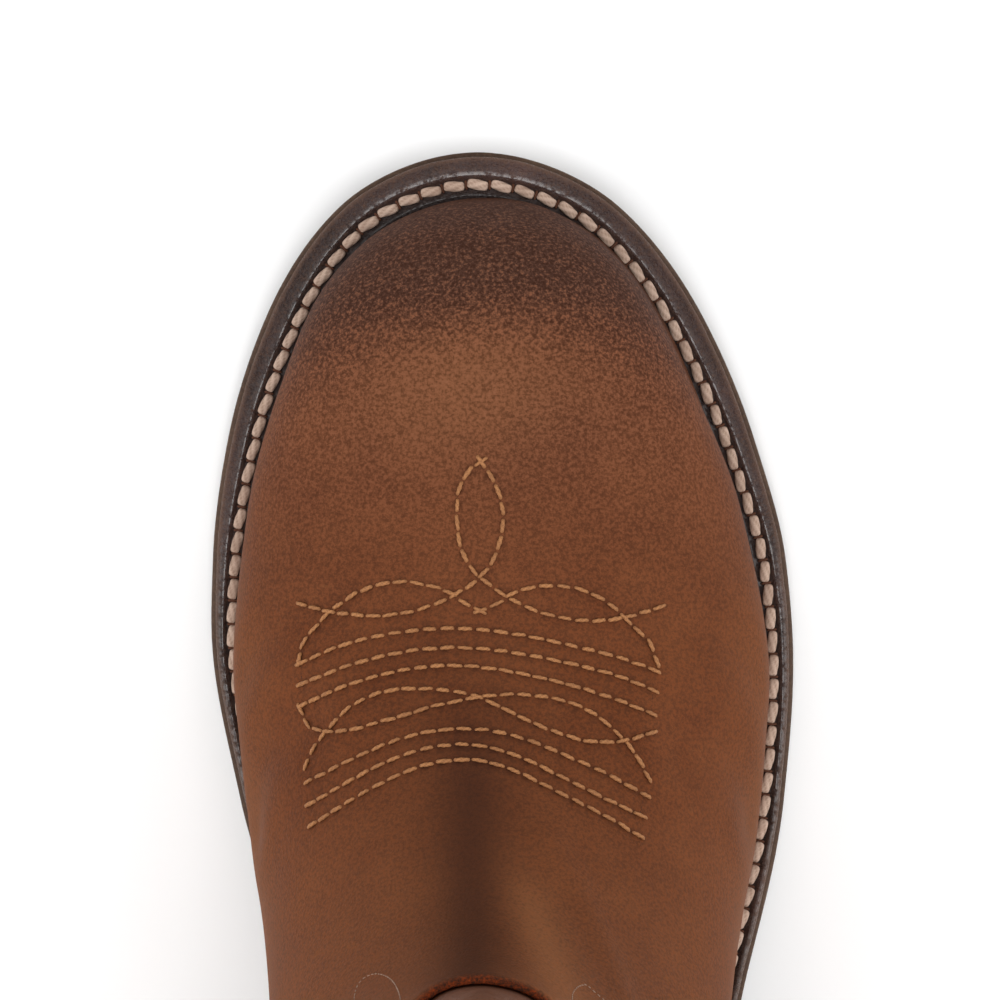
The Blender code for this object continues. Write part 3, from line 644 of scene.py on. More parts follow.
class SharedEffects:
    """Shader groups that more than one finish uses, built once."""

    def __init__(self) -> None:
        """Builds the groups."""
        self.grain = self.build_grain()
        self.wear = self.build_wear()

    @staticmethod
    def group(name: str, inputs: dict[str, float], outputs: Sequence[str]) -> tuple[bpy.types.NodeTree, Nodes]:
        """An empty group with named number inputs and outputs."""
        tree = bpy.data.node_groups.new(name, "ShaderNodeTree")
        for key, value in inputs.items():
            tree.interface.new_socket(key, in_out="INPUT", socket_type="NodeSocketFloat").default_value = value
        for key in outputs:
            tree.interface.new_socket(key, in_out="OUTPUT", socket_type="NodeSocketFloat")
        return tree, Nodes(tree)

    def build_grain(self) -> bpy.types.NodeTree:
        """Leather grain: fine pebbles with creased valleys, and a slower swell."""
        tree, nodes = self.group("leather_grain", {"Size": 1.0, "Depth": 1.0}, ("Height", "Pebble"))
        given = nodes.add("NodeGroupInput")
        put = nodes.add("NodeGroupOutput")
        where = nodes.add("ShaderNodeTexCoord").outputs["Object"]
        bent = nodes.add("ShaderNodeVectorMath", operation="SCALE")
        nodes.feed(bent, i0=where, Scale=nodes.math("DIVIDE", 1.0, given.outputs["Size"]))
        where = bent.outputs[0]
        wander = nodes.add("ShaderNodeTexNoise")
        nodes.feed(wander, Vector=where, Scale=700.0, Detail=2.0)
        off = nodes.add("ShaderNodeVectorMath", operation="MULTIPLY_ADD")
        nodes.feed(off, i0=wander.outputs["Color"], i1=(0.0009, 0.0009, 0.0009), i2=where)
        pebble = nodes.cells(off.outputs[0], 1150.0, "DISTANCE_TO_EDGE")
        pebble = nodes.ramp(pebble, 0.0, 0.32)
        fine = nodes.cells(off.outputs[0], 2300.0, "F1")
        swell = nodes.noise(where, 160.0, 3.0)
        height = nodes.math("ADD", nodes.math("MULTIPLY", pebble, 0.55), nodes.math("MULTIPLY", swell, 0.9))
        height = nodes.math("SUBTRACT", height, nodes.math("MULTIPLY", fine, 0.35))
        height = nodes.math("MULTIPLY", height, given.outputs["Depth"])
        nodes.feed(put, Height=height, Pebble=pebble)
        return tree

    def build_wear(self) -> bpy.types.NodeTree:
        """Handling wear: broad cloudy tone, small scuffs and a few long faint scratches."""
        tree, nodes = self.group("handling_wear", {"Amount": 1.0}, ("Tone", "Scuff"))
        given = nodes.add("NodeGroupInput")
        put = nodes.add("NodeGroupOutput")
        where = nodes.add("ShaderNodeTexCoord").outputs["Object"]
        broad = nodes.noise(where, 28.0, 5.0, 0.6)
        middle = nodes.noise(where, 110.0, 4.0, 0.6)
        tone = nodes.math("ADD", nodes.math("MULTIPLY", broad, 0.65), nodes.math("MULTIPLY", middle, 0.35))
        spots = nodes.ramp(nodes.noise(where, 420.0, 2.0), 0.63, 0.72)
        scratch = nodes.noise(nodes.stretch(where, (60.0, 900.0, 300.0)), 1.0, 3.0)
        scratch = nodes.ramp(scratch, 0.66, 0.74)
        patch = nodes.ramp(nodes.noise(where, 35.0, 2.0), 0.5, 0.65)
        scuff = nodes.math("MULTIPLY", nodes.math("MAXIMUM", spots, scratch), patch)
        nodes.feed(put, Tone=tone, Scuff=nodes.math("MULTIPLY", scuff, given.outputs["Amount"]))
        return tree


@dataclass(frozen=True)
class Finish:
    """A finish in its own material. Subclasses paint it."""

    name: str
    rough: float = 0.5
    coat: float = 0.0
    coat_rough: float = 0.3
    sheen: float = 0.0
    specular: float = 0.5

    def make(self, effects: SharedEffects) -> bpy.types.Material:
        """Makes the material.

        Args:
            effects: The shared shader groups.

        Returns:
            The new material.
        """
        material = bpy.data.materials.new(self.name)
        material.use_nodes = True
        shader = material.node_tree.nodes["Principled BSDF"]
        shader.inputs["Coat Weight"].default_value = self.coat
        shader.inputs["Coat Roughness"].default_value = self.coat_rough
        shader.inputs["Sheen Weight"].default_value = self.sheen
        shader.inputs["Sheen Roughness"].default_value = 0.5
        shader.inputs["Specular IOR Level"].default_value = self.specular
        nodes = Nodes(material.node_tree)
        self.paint(nodes, shader, effects)
        return material

    def paint(self, nodes: Nodes, shader: bpy.types.Node, effects: SharedEffects) -> None:
        """Feeds the shader. The plain finish sets its roughness alone."""
        nodes.feed(shader, Roughness=self.rough)

    @staticmethod
    def place_group(nodes: Nodes, tree: bpy.types.NodeTree, **values: float) -> bpy.types.Node:
        """Places a shared group with its own values."""
        node = nodes.add("ShaderNodeGroup")
        node.node_tree = tree
        return nodes.feed(node, **values)

    @staticmethod
    def bump(nodes: Nodes, height: object, strength: float, distance: float, under: object = None) -> bpy.types.NodeSocket:
        """A bump that can lie on another."""
        node = nodes.feed(nodes.add("ShaderNodeBump"), Height=height, Strength=strength, Distance=distance)
        if under is not None:
            nodes.feed(node, Normal=under)
        return node.outputs[0]


@dataclass(frozen=True)
class WornLeather(Finish):
    """Oiled, worn leather: cloudy brown, burnished dark at the toe, pale where rubbed and where highlights are painted,
    with painted shade along the seams and in other shaded places.
    """

    colour: Colour = srgb(104, 61, 37)
    deep: Colour = srgb(88, 49, 29)
    pale: Colour = srgb(130, 84, 53)
    burnt: Colour = srgb(55, 32, 23)
    ember: Colour = srgb(122, 64, 34)
    raw: Colour = srgb(140, 58, 22)
    wax: Colour = srgb(122, 96, 86)
    spark: Colour = srgb(154, 104, 72)
    grain_size: float = 1.0
    grain_depth: float = 1.0

    def paint(self, nodes: Nodes, shader: bpy.types.Node, effects: SharedEffects) -> None:
        """Paints the leather from shared grain and wear and from the values stored on the mesh."""
        grain = self.place_group(nodes, effects.grain, Size=self.grain_size, Depth=self.grain_depth)
        wear = self.place_group(nodes, effects.wear, Amount=1.0)
        where = nodes.add("ShaderNodeTexCoord").outputs["Object"]
        nap = nodes.noise(where, 1500.0, 3.0, 0.7)
        dust = nodes.noise(where, 2600.0, 2.0, 0.6)
        colour = nodes.mix(nodes.ramp(wear.outputs["Tone"], 0.36, 0.62), self.deep, self.colour)
        # Paler where rubbed; on the vamp this value also carries painted highlights.
        colour = nodes.mix(nodes.ramp(nodes.attribute("rubbed"), 0.0, 1.0, 0.0, 0.9), colour, self.pale)
        colour = nodes.mix(nodes.math("MULTIPLY", wear.outputs["Scuff"], 0.25), colour, self.pale)
        colour = nodes.mix(nodes.ramp(nap, 0.42, 0.66, 0.0, 0.36), colour, self.ember)
        colour = nodes.mix(nodes.ramp(nap, 0.56, 0.34, 0.0, 0.38), colour, self.burnt)
        toe = nodes.attribute("haze")
        colour = nodes.mix(nodes.math("MULTIPLY", toe, nodes.ramp(nap, 0.52, 0.38, 0.0, 0.30)), colour, self.burnt)
        burn = nodes.attribute("burnt")
        uneven = nodes.math("MULTIPLY", nodes.math("SUBTRACT", nap, 0.5), 1.5)
        cloudy = nodes.math("MULTIPLY", nodes.math("SUBTRACT", wear.outputs["Tone"], 0.5), 0.8)
        singed = nodes.math("ADD", burn, nodes.math("MULTIPLY", nodes.math("SUBTRACT", cloudy, uneven), self.window(nodes, burn)))
        colour = nodes.mix(nodes.ramp(singed, 0.05, 0.95, 0.0, 0.94), colour, self.burnt)
        fleck = nodes.math("MULTIPLY", nodes.ramp(nap, 0.54, 0.66), self.window(nodes, burn))
        colour = nodes.mix(nodes.math("MULTIPLY", fleck, 0.48), colour, self.ember)
        # Painted shade: darkens towards the burnt colour by the mesh's shade value.
        colour = nodes.mix(nodes.ramp(nodes.attribute("shade"), 0.0, 1.0, 0.0, 0.9), colour, self.burnt)
        colour = nodes.mix(nodes.math("MULTIPLY", toe, nodes.ramp(nap, 0.38, 0.66, 0.0, 0.22)), colour, self.wax)
        colour = nodes.mix(nodes.math("MULTIPLY", toe, nodes.ramp(nap, 0.50, 0.66, 0.0, 0.16)), colour, self.spark)
        edge = nodes.attribute("raw_edge")
        fibres = nodes.noise(where, 1500.0, 3.0, 0.8)
        colour = nodes.mix(edge, colour, nodes.mix(nodes.ramp(fibres, 0.42, 0.76), self.burnt, self.raw))
        rough = nodes.math("ADD", self.rough, nodes.ramp(wear.outputs["Tone"], 0.3, 0.7, -0.06, 0.08))
        rough = nodes.math("ADD", rough, nodes.math("MULTIPLY", wear.outputs["Scuff"], 0.12))
        rough = nodes.math("ADD", rough, nodes.math("MULTIPLY", edge, 0.3), clamp=True)
        low = self.bump(nodes, grain.outputs["Height"], 0.4, 0.0002)
        height = nodes.math("ADD", nap, nodes.math("MULTIPLY", dust, 0.5))
        nodes.feed(shader, Base_Color=colour, Roughness=rough, Normal=self.bump(nodes, height, 0.3, 0.00012, low))

    @staticmethod
    def window(nodes: Nodes, value: object) -> bpy.types.NodeSocket:
        """1 where a value is about a half and 0 at its ends."""
        low, high = nodes.ramp(value, 0.0, 0.3), nodes.ramp(value, 1.80, 0.60)
        return nodes.math("MULTIPLY", low, high)


@dataclass(frozen=True)
class WaxedLeather(Finish):
    """Dark waxed leather of the welt and heel, with a half gloss broken by its grain."""

    colour: Colour = srgb(68, 47, 43)
    deep: Colour = srgb(24, 15, 13)
    bare: Colour = srgb(104, 74, 55)
    band: float = 0.0
    grain: float = 1.0
    glaze: float = 1.0

    def paint(self, nodes: Nodes, shader: bpy.types.Node, effects: SharedEffects) -> None:
        """Paints the leather; a band above 0 gives the lines of stacked layers that high."""
        grain = self.place_group(nodes, effects.grain, Size=0.75, Depth=1.0)
        wear = self.place_group(nodes, effects.wear, Amount=1.0)
        where = nodes.add("ShaderNodeTexCoord").outputs["Object"]
        fine = nodes.noise(where, 1600.0, 3.0, 0.75)
        colour = nodes.mix(nodes.ramp(wear.outputs["Tone"], 0.35, 0.65), self.deep, self.colour)
        colour = nodes.mix(nodes.ramp(fine, 0.45, 0.75, 0.0, 0.45), colour, self.bare)
        # Painted shade by the mesh's shade value: on the welt, its stitch channel and its strip under the upper's edge.
        colour = nodes.mix(nodes.ramp(nodes.attribute("shade"), 0.0, 1.0, 0.0, 0.9), colour, self.deep)
        colour = nodes.mix(nodes.ramp(nodes.attribute("bared"), 0.0, 1.0, 0.0, 0.8), colour, self.bare)
        height = nodes.math("ADD", grain.outputs["Height"], nodes.math("MULTIPLY", fine, 1.2))
        if self.band > 0:
            along = nodes.add("ShaderNodeSeparateXYZ")
            nodes.feed(along, Vector=where)
            layer = nodes.math("FRACT", nodes.math("DIVIDE", along.outputs["Z"], self.band))
            line = nodes.math("MULTIPLY", nodes.ramp(layer, 0.0, 0.06, 1.0, 0.0), 0.8)
            colour = nodes.mix(line, colour, self.deep)
            streak = nodes.noise(nodes.stretch(where, (60.0, 60.0, 1800.0)), 1.0, 4.0, 0.7)
            colour = nodes.mix(nodes.ramp(streak, 0.45, 0.7, 0.0, 0.5), colour, self.bare)
            height = nodes.math("ADD", height, streak)
        rough = nodes.math("ADD", self.rough, nodes.ramp(fine, 0.3, 0.7, -0.12, 0.2))
        rough = nodes.math("SUBTRACT", rough, nodes.math("MULTIPLY", nodes.attribute("waxed"), 0.16), clamp=True)
        glaze = nodes.math("MULTIPLY", nodes.attribute("waxed"), nodes.ramp(nodes.noise(where, 1100.0, 2.0), 0.38, 0.56))
        nodes.feed(shader, Coat_Weight=nodes.math("MULTIPLY", glaze, self.glaze))
        normal = self.bump(nodes, height, 0.75 * self.grain, 0.00025)
        nodes.feed(shader, Base_Color=colour, Roughness=rough, Normal=normal)


@dataclass(frozen=True)
class Thread(Finish):
    """Twisted thread: fine fibres, a little dirt, and painted shade in the hollows between the plies and at the
    stitch's ends.
    """

    colour: Colour = srgb(202, 176, 158)
    soil_and_shade: Colour = srgb(132, 104, 88)
    fibre: float = 5200.0

    def paint(self, nodes: Nodes, shader: bpy.types.Node, effects: SharedEffects) -> None:
        """Paints the thread."""
        where = nodes.add("ShaderNodeTexCoord").outputs["Object"]
        fibres = nodes.noise(where, self.fibre, 3.0, 0.8)
        soiled = nodes.ramp(nodes.noise(where, 240.0, 3.0), 0.42, 0.72, 0.0, 0.5)
        colour = nodes.mix(soiled, self.colour, self.soil_and_shade)
        colour = nodes.mix(nodes.ramp(fibres, 0.3, 0.65, 0.45, 0.0), colour, self.soil_and_shade)
        # Painted shade: the soil colour laid in the hollows between the plies and at the ends.
        colour = nodes.mix(nodes.ramp(nodes.attribute("hollow"), 0.0, 1.0, 0.0, 0.75), colour, self.soil_and_shade)
        nodes.feed(shader, Base_Color=colour, Roughness=self.rough, Normal=self.bump(nodes, fibres, 0.6, 0.00012))


@dataclass(frozen=True)
class Moulded(Finish):
    """Rubber or dense sole stuff with a fine stipple and rubbed high spots."""

    colour: Colour = srgb(62, 45, 36)
    rubbed: Colour = srgb(104, 82, 66)

    def paint(self, nodes: Nodes, shader: bpy.types.Node, effects: SharedEffects) -> None:
        """Paints the rubber."""
        wear = self.place_group(nodes, effects.wear, Amount=1.0)
        where = nodes.add("ShaderNodeTexCoord").outputs["Object"]
        fine = nodes.noise(where, 1300.0, 4.0, 0.7)
        colour = nodes.mix(nodes.ramp(fine, 0.42, 0.72, 0.0, 0.6), self.colour, self.rubbed)
        colour = nodes.mix(nodes.ramp(wear.outputs["Tone"], 0.4, 0.65, 0.0, 0.35), colour, self.rubbed)
        rough = nodes.math("ADD", self.rough, nodes.ramp(fine, 0.3, 0.7, -0.08, 0.1), clamp=True)
        nodes.feed(shader, Base_Color=colour, Roughness=rough, Normal=self.bump(nodes, fine, 0.5, 0.0002))


@dataclass(frozen=True)
class PlainFloor(Finish):
    """The pale floor of the studio."""

    colour: Colour = (0.93, 0.93, 0.93)

    def paint(self, nodes: Nodes, shader: bpy.types.Node, effects: SharedEffects) -> None:
        """Paints the floor one pale colour."""
        nodes.feed(shader, Base_Color=(*self.colour, 1.0), Roughness=self.rough)


@dataclass
class Wardrobe:
    """Every finish, made into a material the first time that it is asked for."""

    effects: SharedEffects = field(default_factory=SharedEffects)
    made: dict[str, bpy.types.Material] = field(default_factory=dict)

    VAMP: ClassVar[WornLeather] = WornLeather("vamp_leather", rough=0.6, specular=0.03)
    SHAFT: ClassVar[WornLeather] = WornLeather("shaft_leather", rough=0.5, specular=0.12, grain_size=1.15)
    TRIM: ClassVar[WornLeather] = WornLeather(
        "trim_leather", rough=0.45, specular=0.3, colour=srgb(72, 41, 27), deep=srgb(48, 27, 19), pale=srgb(104, 66, 44),
        grain_size=0.8,
    )
    LINING: ClassVar[WornLeather] = WornLeather(
        "lining_leather", rough=0.75, specular=0.15, colour=srgb(168, 126, 86), deep=srgb(146, 104, 68),
        pale=srgb(186, 148, 108), burnt=srgb(120, 84, 54), ember=srgb(172, 124, 80),
    )
    WELT: ClassVar[WaxedLeather] = WaxedLeather("welt_leather", rough=0.5, coat_rough=0.18, specular=0.3)
    HEEL: ClassVar[WaxedLeather] = WaxedLeather("heel_leather", rough=0.45, coat=0.15, band=0.0052, grain=0.5)
    THICK: ClassVar[Thread] = Thread("welt_thread", rough=0.85, specular=0.2)
    FINE: ClassVar[Thread] = Thread(
        "fine_thread", rough=0.65, specular=0.3, colour=srgb(172, 118, 72), soil_and_shade=srgb(112, 70, 40), fibre=3600.0
    )
    TIE: ClassVar[Thread] = Thread("tie_thread", rough=0.8, specular=0.2, colour=srgb(98, 62, 45), soil_and_shade=srgb(60, 36, 27))
    DARK: ClassVar[Thread] = Thread("dark_thread", rough=0.8, specular=0.2, colour=srgb(66, 38, 26), soil_and_shade=srgb(44, 25, 18))
    PALE: ClassVar[Thread] = Thread("pale_thread", rough=0.7, specular=0.3, colour=srgb(158, 134, 116), soil_and_shade=srgb(112, 84, 66))
    SOLE: ClassVar[Moulded] = Moulded("sole_stuff", rough=0.7, specular=0.2)
    CAP: ClassVar[Moulded] = Moulded("heel_rubber", rough=0.75, colour=srgb(34, 31, 30), rubbed=srgb(64, 58, 54))
    FLOOR: ClassVar[PlainFloor] = PlainFloor("floor", rough=0.9)

    def get(self, finish: Finish) -> bpy.types.Material:
        """The material of a finish."""
        if finish.name not in self.made:
            self.made[finish.name] = finish.make(self.effects)
        return self.made[finish.name]

    def dress(self, obj: bpy.types.Object, finish: Finish, slot: str) -> bpy.types.Object:
        """Gives a piece its finish and ties it to the boot's body."""
        obj.data.materials.clear()
        obj.data.materials.append(self.get(finish))
        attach(obj, BODY)
        LOG.info("%s: %d faces, %s", obj.name, len(obj.data.polygons), finish.name)
        return obj


@dataclass(frozen=True)
class Fold:
    """A fold or hollow along a line on the boot."""

    line: tuple[tuple[float, float], ...]
    depth: float
    width: float
    shoulders: float = 0.5


class Relief:
    """How the leather leaves the boot's plain form: slack folds, and the dents along rows of stitches."""

    # Folds round the ankle and over the flex of the vamp, as (turn, level) points
    FOLDS: ClassVar[tuple[Fold, ...]] = (
        Fold(((0.10, 0.690), (0.20, 0.640), (0.34, 0.600), (0.46, 0.590)), 0.0012, 0.0060),
        Fold(((-0.10, 0.695), (-0.22, 0.645), (-0.36, 0.604), (-0.48, 0.592)), 0.0012, 0.0060),
        Fold(((0.40, 0.545), (0.50, 0.535), (0.62, 0.550), (0.74, 0.600)), 0.0012, 0.0065),
        Fold(((-0.38, 0.550), (-0.50, 0.538), (-0.62, 0.555), (-0.72, 0.605)), 0.0012, 0.0065),
        Fold(((0.62, 0.520), (0.76, 0.560), (0.90, 0.580), (1.00, 0.585)), 0.0012, 0.0065),
        Fold(((-0.60, 0.525), (-0.74, 0.562), (-0.88, 0.584), (-0.98, 0.590)), 0.0012, 0.0065),
        Fold(((0.20, 0.700), (0.34, 0.672), (0.50, 0.668), (0.64, 0.690)), 0.0008, 0.0090),
        Fold(((-0.22, 0.705), (-0.36, 0.680), (-0.52, 0.676), (-0.66, 0.700)), 0.0008, 0.0090),
        Fold(((0.17, 0.330), (0.24, 0.300), (0.33, 0.265)), 0.0007, 0.0050),
        Fold(((-0.16, 0.345), (-0.23, 0.310), (-0.32, 0.270)), 0.0007, 0.0050),
        Fold(((0.14, 0.275), (0.20, 0.245), (0.27, 0.215)), 0.0004, 0.0045),
        Fold(((-0.13, 0.285), (-0.20, 0.250), (-0.27, 0.220)), 0.0004, 0.0045),
    )
    # A soft ridge down the outer side of the instep, as picture points
    RAISED: ClassVar[tuple[tuple[tuple[float, float], ...], float, float]] = (
        ((548, 838), (578, 888), (602, 940), (622, 992)), 0.0007, 0.0032,
    )

    def __init__(self, form: BootForm) -> None:
        """Lays the folds on the form."""
        self.form = form
        self.folds = [(self.line_tree(fold), fold) for fold in self.FOLDS]
        turns, levels = np.linspace(-0.62, 0.62, 240), np.linspace(0.0, 0.70, 200)
        grid = form.surface(turns[None, :], levels[:, None])
        faces = ring_faces(len(levels), len(turns), False, False)
        self.plain = BVHTree.FromPolygons(grid.reshape(-1, 3).tolist(), faces)
        line, depth, width = self.RAISED
        points, _ = VIEW.onto(self.plain, smooth_path(line, 60))
        self.raised = (self.tree_of(points), depth, width)
        self.seam: KDTree | None = None
        self.seam_phase = np.zeros(0)
        self.seam_size: tuple[float, float] = (0.0, 0.0)

    @staticmethod
    def tree_of(points: np.ndarray) -> KDTree:
        """A tree for finding the nearest of some points."""
        tree = KDTree(len(points))
        for i, point in enumerate(points):
            tree.insert(point, i)
        tree.balance()
        return tree

    def line_tree(self, fold: Fold) -> KDTree:
        """A tree of dense points along a fold."""
        line = smooth_path(fold.line, 120)
        return self.tree_of(self.form.surface(line[:, 0], line[:, 1]))

    def stitched(self, lines: list[np.ndarray], pitch: float, depth: float, width: float) -> None:
        """Notes rows of stitches, so that the leather dents along them.

        Args:
            lines: The rows, as dense points on the form.
            pitch: The length of a stitch.
            depth: How deep the dent is at the needle holes.
            width: How wide it is.
        """
        points, phases = [], []
        for line in lines:
            run = np.concatenate([[0], np.cumsum(np.linalg.norm(np.diff(line, axis=0), axis=1))])
            even = np.arange(0, run[-1], 0.0003)
            points.append(np.stack([np.interp(even, run, line[:, k]) for k in range(3)], axis=1))
            phases.append(even / pitch)
        joined = np.concatenate(points)
        self.seam, self.seam_phase, self.seam_size = self.tree_of(joined), np.concatenate(phases), (depth, width)

    @staticmethod
    def distances(tree: KDTree, points: np.ndarray, reach: float) -> tuple[np.ndarray, np.ndarray]:
        """Distance from each point to the nearest of a tree and its number, out to a reach."""
        found = np.full(len(points), 1.0)
        number = np.zeros(len(points), int)
        for i, point in enumerate(points):
            _, index, distance = tree.find(point)
            if distance is not None and distance < reach:
                found[i], number[i] = distance, index
        return found, number

    def of(self, points: np.ndarray, sewn: bool = True) -> tuple[np.ndarray, np.ndarray]:
        """How far the leather stands out from the form, and how much a seam darkens it.

        Args:
            points: Points on the plain form.
            sewn: Whether the rows of stitches count.

        Returns:
            The height along the normal, and a shade from 0 to 1, for each point.
        """
        flat = points.reshape(-1, 3)
        height, shade = np.zeros(len(flat)), np.zeros(len(flat))
        for tree, fold in self.folds:
            box = np.array([tree.find(p)[2] for p in flat[:: max(1, len(flat) // 400)]])
            if box.min() > 4 * fold.width + 0.02:
                continue
            distance, _ = self.distances(tree, flat, 5 * fold.width)
            share = distance / fold.width
            height -= fold.depth * np.exp(-(share**2))
            height += fold.shoulders * fold.depth * np.exp(-(((share - 1.9) / 0.9) ** 2))
        tree, depth, width = self.raised
        distance, _ = self.distances(tree, flat, 5 * width)
        height += depth * np.exp(-((distance / width) ** 2))
        if sewn and self.seam is not None:
            depth, width = self.seam_size
            distance, number = self.distances(self.seam, flat, 4 * width)
            hole = 0.62 + 0.38 * np.cos(2 * np.pi * self.seam_phase[number])
            height -= depth * hole * np.exp(-((distance / width) ** 2))
            shade = 0.55 * hole * np.exp(-((distance / (0.75 * width)) ** 2))
        return height.reshape(points.shape[:-1]), shade.reshape(points.shape[:-1])

    def skin(self, turn: np.ndarray, level: np.ndarray, depth: np.ndarray, sewn: bool = True) -> tuple[np.ndarray, np.ndarray]:
        """Points of a skin at a depth under the outermost surface, folds and all.

        Args:
            turn: Turns round the boot.
            level: Ring levels.
            depth: Depths of the skin.
            sewn: Whether the rows of stitches dent it.

        Returns:
            The points and each point's shade.
        """
        points = self.form.surface(turn, level)
        height, shade = self.of(points, sewn)
        return points + self.form.normal(turn, level) * (height - depth)[..., None], shade


@dataclass(frozen=True)
class StitchShape:
    """One stitch: a bead of twisted thread."""

    length: float
    width: float
    height: float
    plies: int = 2
    twist: float = 1.1
    ply_depth: float = 0.10
    blunt: float = 6.0
    steps: int = 14
    around: int = 10

    def make(self, name: str) -> bpy.types.Object:
        """Makes the bead along X with its top along Z, as an object that is only a pattern for the rows."""
        points, hollow = [], []
        for t in np.sin(np.linspace(-math.pi / 2, math.pi / 2, self.steps + 1)):
            full = max(1 - abs(t) ** self.blunt, 0.0) ** 0.5 * 0.95 + 0.05
            for a in np.linspace(0, 2 * np.pi, self.around, endpoint=False):
                ply = math.cos(self.plies * (a + self.twist * t * math.pi / 2))
                out = full * (1 + self.ply_depth * ply)
                points.append((
                    t * self.length / 2,
                    self.width / 2 * out * math.cos(a),
                    self.height * (0.5 * out * math.sin(a) + 0.38 * full - 0.20),
                ))
                # Where shade is painted: the hollows between the plies and the thinning ends.
                hollow.append(max(0.0, -ply) ** 2 + (1 - full) ** 2)
        faces: list[Sequence[int]] = list(ring_faces(self.steps + 1, self.around, False, True))
        faces.append(tuple(range(self.around)))
        faces.append(tuple(range(self.steps * self.around, (self.steps + 1) * self.around)))
        obj = face_out(add_mesh(name, np.array(points), faces, {"hollow": np.clip(hollow, 0, 1)}))
        bpy.context.scene.collection.objects.unlink(obj)
        return obj


